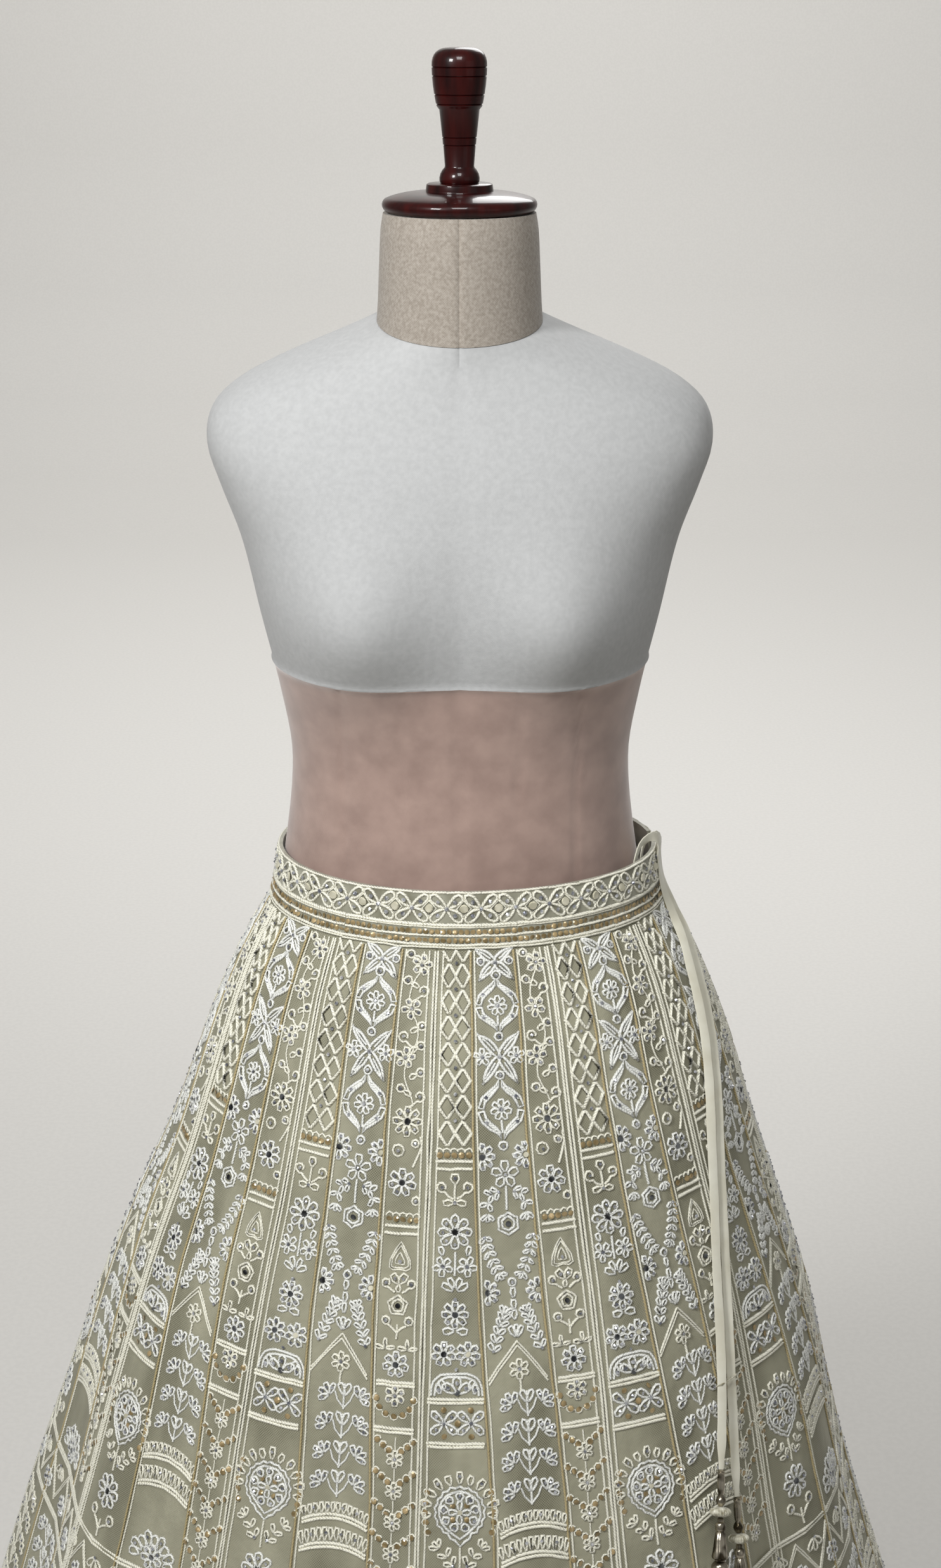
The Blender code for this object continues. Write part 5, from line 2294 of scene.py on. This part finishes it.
@dataclass
class Latkan:
    """The ornament on a tie's end."""

    side: str
    tie: Tie
    wardrobe: Wardrobe
    cap: tuple[Turn, ...] = turns(
        (0, 1.6), (0.6, 2.9), (1.4, 2.3), (2.2, 2.9), (3.2, 2.4), (6, 2.6), (12, 2.6), (16, 2.2), (17.2, 1.7),
        (18, 2.2), (19.2, 3), (20.4, 3.5), (21.5, 3.7), (22.6, 3.5), (24, 2.9), (25, 2), (25.6, 1.5),
    )
    bead: tuple[Turn, ...] = turns(
        (0, 1.8), (0.4, 4.2), (1.2, 6.2), (2.2, 7.3), (3.5, 7.7), (4.8, 7.3), (5.8, 6.2), (6.6, 4.2),
        (7, 1.8),
    )
    bell: tuple[Turn, ...] = turns(
        (0, 1.6), (1.2, 2.4), (3, 2.2), (3.8, 3.4), (5, 3.9), (8, 3.9), (9.2, 3.4), (9.8, 2.8), (10.8, 3.6),
        (16, 4.3), (23, 5.1), (27.2, 5.9), (28.4, 5.7), (29.4, 4), (30.2, 3.8), (31.2, 4.8), (32.6, 6),
        (34.2, 6.4), (35.8, 6.4), (37.6, 5.8), (39.2, 4.4), (40.4, 2.6), (41.8, 2.5), (43.8, 3), (45.6, 2.9),
        (47.4, 2.2), (48.8, 1.3), (49.5, 0.5),
    )

    def build(self) -> list[bpy.types.Object]:
        """Makes the cap, the bead and the bell.

        Returns:
            The pieces.
        """
        points, _ = self.tie.smooth(*self.tie.route_points(0.0), self.tie.step)
        direction = (points[-1] - points[-4]).normalized()
        turned = direction.to_track_quat("Z", "Y").to_matrix().to_4x4()
        kinds = (
            ("cap", self.cap, "metal", "latkan_metal", 48,
             lambda turn, along: 1 + 0.07 * math.cos(8 * turn) * (0.004 < along < 0.0165)),
            ("bead", self.bead, "ivory", "silk_cord", 144,
             lambda turn, along: 1 + 0.04 * math.cos(24 * turn)),
            ("bell", self.bell, "metal", "latkan_metal", 64,
             lambda turn, along: 1 + (0.09 * abs(math.cos(4 * turn)) - 0.05) * (0.0105 < along < 0.0275)),
        )
        along, made = SEAM_GAP, []
        for label, profile, finish, slot, sides, shape in kinds:
            placed = Matrix.Translation(points[-1] + direction * along) @ turned
            vertices = turned_rings(profile, sides, placed, shape)
            name = f"latkan_{self.side}_{label}"
            piece = mesh_object(f"{name}_shaped", vertices, ring_faces(len(profile), sides),
                                [self.wardrobe.get(finish)])
            finish_piece(piece, [name])
            made.append(piece)
            along += profile[-1].along + SEAM_GAP
        return made


@dataclass
class Keeper:
    """The thin thread that is tied across both ties above their latkans."""

    ties: tuple[Tie, Tie]
    wardrobe: Wardrobe
    height: float = 0.676
    radius: float = 0.0006
    sides: int = 6

    def build(self) -> None:
        """Makes the thread as a closed loop round both ties."""
        centres, sides_of, outs = [], [], []
        for tie in self.ties:
            points, facings, across = tie.lay()
            nearest = min(range(len(points)), key=lambda k: abs(points[k].z - self.height))
            centres.append(points[nearest])
            sides_of.append(across[nearest])
            outs.append(facings[nearest])
        ends = []
        for centre, side, tie in zip(centres, sides_of, self.ties):
            reach = tie.width / 2 + self.radius
            ends.extend([centre + side * reach, centre - side * reach])
        middle = sum(centres, Vector()) / 2
        left, right = min(ends, key=lambda p: p.x), max(ends, key=lambda p: p.x)
        out = (outs[0] + outs[1]).normalized()
        lift = self.ties[0].thickness / 2 + self.radius
        loop = [
            left, (left * 2 + middle) / 3 + out * lift * 2.0, middle + out * lift * 2.2,
            (right * 2 + middle) / 3 + out * lift * 2.0, right, (right * 2 + middle) / 3 - out * lift * 1.6,
            middle - out * lift * 1.8, (left * 2 + middle) / 3 - out * lift * 1.6,
        ]
        vertices, count = [], len(loop)
        for k, place in enumerate(loop):
            ahead = (loop[(k + 1) % count] - loop[k - 1]).normalized()
            first = ahead.cross(Vector((0, 0, 1))).normalized()
            second = ahead.cross(first)
            for point in range(self.sides):
                turn = 2 * math.pi * point / self.sides
                vertices.append(place + (first * math.cos(turn) + second * math.sin(turn)) * self.radius)
        faces = ring_faces(count, self.sides, closed_ends=False)
        last = (count - 1) * self.sides
        for k in range(self.sides):
            after = (k + 1) % self.sides
            faces.append([last + k, last + after, after, k])
        piece = mesh_object("keeper_thread", vertices, faces, [self.wardrobe.get("ivory")])
        finish_piece(piece)
        log.info("keeper thread across the ties at %.3f m", self.height)


# The dress form and its stand


@dataclass
class DressForm:
    """The limbless form: its jersey torso, its felt neck and the turned cap with its handle."""

    wardrobe: Wardrobe
    points: int = 208
    bust_half_span: float = 0.076
    bust_z: float = 1.228
    bust_rise: float = 0.03
    bust_spread_x: float = 0.052
    bust_spread_z: float = 0.055
    bust_side_fade: float = 1.6
    seam_dip: float = 0.0012
    seam_spread: float = 0.0014
    piping_rise: float = 0.0012
    piping_spread: float = 0.0018
    jersey_top_z: float = 1.185
    jersey_seams: tuple[float, ...] = (-0.084, -0.042, 0.0, 0.042, 0.084)

    def ring(self, sections: Sequence[FormSection], height: float, turns: Sequence[float]) -> list[Vector]:
        """One ring of the form, with the bust's rises and the dip of the front seam.

        Args:
            sections: The form's table.
            height: The ring's height.
            turns: The angles of its points.

        Returns:
            The ring's points.
        """
        half_width, front, back, tilt, power = smooth_at(sections, height)
        ring = []
        for turn in turns:
            side, ahead = math.sin(turn), math.cos(turn)
            x = half_width * math.copysign(abs(side) ** (2 / power), side)
            y = -(front if ahead > 0 else back) * math.copysign(abs(ahead) ** (2 / power), ahead)
            z = height + tilt * y
            rise = 0.0
            for centre in (-self.bust_half_span, self.bust_half_span):
                away_x, away_z = (x - centre) / self.bust_spread_x, (z - self.bust_z) / self.bust_spread_z
                rise += self.bust_rise * math.exp(-(away_x**2) - away_z**2)
            seams = self.jersey_seams if height < self.jersey_top_z else (0.0,)
            dip = sum(self.seam_dip * math.exp(-(((x - seam) / self.seam_spread) ** 2)) for seam in seams)
            dip *= 1 if ahead > 0 else -1
            off_piping = (height - self.jersey_top_z) / self.piping_spread
            piping = self.piping_rise * math.exp(-(off_piping**2))
            x, y = x * (1 + piping / half_width), y * (1 + piping / front)
            ring.append(Vector((x, y - rise * smooth_step(ahead * self.bust_side_fade) + dip, z)))
        return ring

    def padded_piece(self, name: str, sections: Sequence[FormSection], heights: Sequence[float], finish: str) -> None:
        """Makes a closed piece of the form.

        Args:
            name: The solid that it stands for.
            sections: Its table.
            heights: The heights of its rings.
            finish: Its cover.
        """
        turns = [2 * math.pi * k / self.points for k in range(self.points)]
        rings = [self.ring(sections, height, turns) for height in heights]
        vertices = [point for ring in rings for point in ring]
        piece = mesh_object(f"{name}_covered", vertices, ring_faces(len(rings), len(turns)),
                            [self.wardrobe.get(finish), self.wardrobe.get("jersey")])
        if name == "form_torso":
            for face in piece.data.polygons:
                face.material_index = int(face.center.z < self.jersey_top_z)
        finish_piece(piece, [name])

    def build(self) -> None:
        """Makes the form's pieces."""
        top = FORM_SECTIONS[-1].height
        seam = self.jersey_top_z
        heights = [
            *np.linspace(FORM_BOTTOM_Z, seam - 0.006, 40),
            *(seam + step for step in (-0.003, -0.0015, 0.0, 0.0015, 0.003)),
            *np.linspace(seam + 0.006, SHOULDER_Z, 22)[:-1],
            *np.linspace(SHOULDER_Z, top, 22),
        ]
        self.padded_piece("form_torso", FORM_SECTIONS, heights, "canvas")
        self.padded_piece("form_neck", NECK_SECTIONS, list(np.linspace(NECK_SEAM_Z, NECK_TOP_Z, 14)), "felt")
        cap = turns(
            (0, 49.5), (1, 51.5), (2.2, 52.5), (3.8, 53.3), (5.5, 53.5), (7.2, 53), (8.8, 51.8), (10, 49),
            (11.2, 45), (12.3, 40), (13.1, 34.5), (13.6, 28), (14, 23.4), (14.4, 23.2), (15, 23.2),
            (17.8, 22.8), (18.6, 22.6), (19.2, 21.5),
        )
        handle = turns(
            (0, 13.2), (1.5, 13.8), (3.5, 13.8), (6.2, 13.1), (8.5, 11.8), (10, 10.4), (11, 10), (24, 11),
            (24.5, 11), (24.9, 10.5), (25.3, 11.3), (29.5, 11.7), (29.9, 11), (30.3, 11.8), (48, 13.7),
            (49.8, 15.2), (51, 15.8), (51.5, 15.1), (52, 16), (57.2, 17), (57.7, 16.3), (58.2, 17.2),
            (64, 18), (69.2, 18.5), (69.7, 17.8), (70.2, 18.6), (75, 18.8), (75.5, 18), (76, 18.8),
            (79, 18.7), (81.5, 18.1), (83.5, 17.2), (85.2, 15.8), (86.6, 13.8), (87.6, 11.2), (88.2, 6),
        )
        cap_z = NECK_TOP_Z + SEAM_GAP
        handle_z = cap_z + cap[-1].along + SEAM_GAP
        for name, profile, height in (("form_neck_cap", cap, cap_z), ("form_handle", handle, handle_z)):
            placed = Matrix.Translation((0, 0, height))
            rings = turned_rings(profile, 96, placed)
            lacquer = [self.wardrobe.get("lacquer")]
            piece = mesh_object(f"{name}_turned", rings, ring_faces(len(profile), 96), lacquer)
            finish_piece(piece, [name])
        log.info("dress form: torso, neck, cap and handle")


@dataclass
class Stand:
    """The pole and the round base."""

    wardrobe: Wardrobe

    def build(self) -> None:
        """Makes both pieces."""
        base = turns(
            (0, 203), (1, 204.5), (2, 205), (16, 205), (18.5, 204.2), (20.5, 201.5), (22, 195), (23.8, 120),
            (26.2, 48), (29, 39.5), (32, 34), (40, 27.5), (49, 24), (51, 22.8), (HUB_TOP_Z / MM, 21),
        )
        height = FORM_BOTTOM_Z - HUB_TOP_Z - 2 * SEAM_GAP
        pole = (
            Turn(0.0, POLE_RADIUS - 0.0004), Turn(0.0005, POLE_RADIUS),
            Turn(height - 0.0005, POLE_RADIUS), Turn(height, POLE_RADIUS - 0.0004),
        )
        for name, profile, z, finish, slot, sides in (
            ("stand_base", base, 0.0, "lacquer", "varnished_wood", 128),
            ("stand_pole", pole, HUB_TOP_Z + SEAM_GAP, "steel", "stand_steel", 48),
        ):
            placed = Matrix.Translation((0, 0, z))
            piece = mesh_object(f"{name}_turned", turned_rings(profile, sides, placed),
                                ring_faces(len(profile), sides), [self.wardrobe.get(finish)])
            finish_piece(piece, [name])
        log.info("stand: pole and base")


# The studio


@dataclass
class Studio:
    """The camera, the lights and the pale floor."""

    wardrobe: Wardrobe
    camera_at: tuple[float, float, float] = (0.0075, -1.57, 1.64)
    pitch_down: float = 19.6
    lens: float = 50.93

    def camera(self) -> None:
        """Sets the camera where the photograph was taken from."""
        data = bpy.data.cameras.new("camera")
        data.lens = self.lens
        data.sensor_width = 36.0
        data.sensor_fit = "AUTO"
        data.clip_start = 0.05
        eye = bpy.data.objects.new("camera", data)
        eye.location = self.camera_at
        eye.rotation_euler = (math.radians(90 - self.pitch_down), 0, 0)
        bpy.context.scene.collection.objects.link(eye)
        bpy.context.scene.camera = eye

    def lights(self) -> None:
        """Large soft lights from above the front, a weaker one from behind, and a pale surround."""
        for name, place, aim, size, power in (
            ("key", (-0.9, -1.2, 2.25), (0, 0, 1.1), 0.4, 24.5),
            ("fill", (2.2, -2.2, 1.7), (0, 0, 0.9), 1.8, 2),
            ("top", (0.0, -0.9, 2.3), (0, 0, 1.0), 0.4, 8),
            ("back", (0.6, 2.4, 2.9), (0, 0, 0.9), 1.4, 28),
            ("wash", (0.0, 3.2, 4.8), (0, 7.4, 1.4), 4.0, 225),
        ):
            data = bpy.data.lights.new(name, "AREA")
            data.size, data.energy = size, power
            lamp = bpy.data.objects.new(name, data)
            lamp.location = place
            lamp.visible_camera = False
            lamp.rotation_euler = (Vector(aim) - Vector(place)).to_track_quat("-Z", "Y").to_euler()
            bpy.context.scene.collection.objects.link(lamp)
        world = bpy.data.worlds.new("surround")
        world.use_nodes = True
        world.node_tree.nodes["Background"].inputs["Color"].default_value = linear("#DEDDDA")
        world.node_tree.nodes["Background"].inputs["Strength"].default_value = 0.32
        bpy.context.scene.world = world
        bpy.context.scene.view_settings.view_transform = "Standard"

    def floor(self) -> None:
        """A pale floor that sweeps up behind the part."""
        profile = [
            (-16.0, 0.0), (5.4, 0.0), (6.0, 0.06), (6.5, 0.25), (6.9, 0.6), (7.1, 1.1), (7.2, 1.8), (7.2, 9.0)
        ]
        vertices = [(x, y, z) for y, z in profile for x in (-16.0, 16.0)]
        faces = [(2 * k, 2 * k + 1, 2 * k + 3, 2 * k + 2) for k in range(len(profile) - 1)]
        mesh = bpy.data.meshes.new("floor")
        mesh.from_pydata(vertices, [], faces)
        mesh.shade_smooth()
        mesh.materials.append(self.wardrobe.get("floor"))
        ground = bpy.data.objects.new("floor", mesh)
        bpy.context.scene.collection.objects.link(ground)

    def build(self) -> None:
        """Sets up the whole studio."""
        self.camera()
        self.lights()
        self.floor()


def corners(box: tuple) -> list[list[float]]:
    """A box's two corners as plain lists."""
    return [[float(v) for v in corner] for corner in box]


def main() -> None:
    """Builds everything in order."""
    logging.basicConfig(level=logging.INFO, format="%(name)s: %(message)s")
    for old in list(bpy.data.objects):
        bpy.data.objects.remove(old)
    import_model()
    wardrobe = Wardrobe()
    surface = GarmentSurface()
    Studio(wardrobe).build()
    ties = Tie("first", FIRST_TIE, surface, wardrobe), Tie("second", SECOND_TIE, surface, wardrobe)
    for tie in ties:
        tie.build()
    Keeper(ties, wardrobe).build()
    DressForm(wardrobe).build()
    Stand(wardrobe).build()
    needle = Needle(wardrobe)
    Skirt(surface, wardrobe, needle).build()
    Waistband(surface, wardrobe, needle).build()


if __name__ == "__main__":
    main()
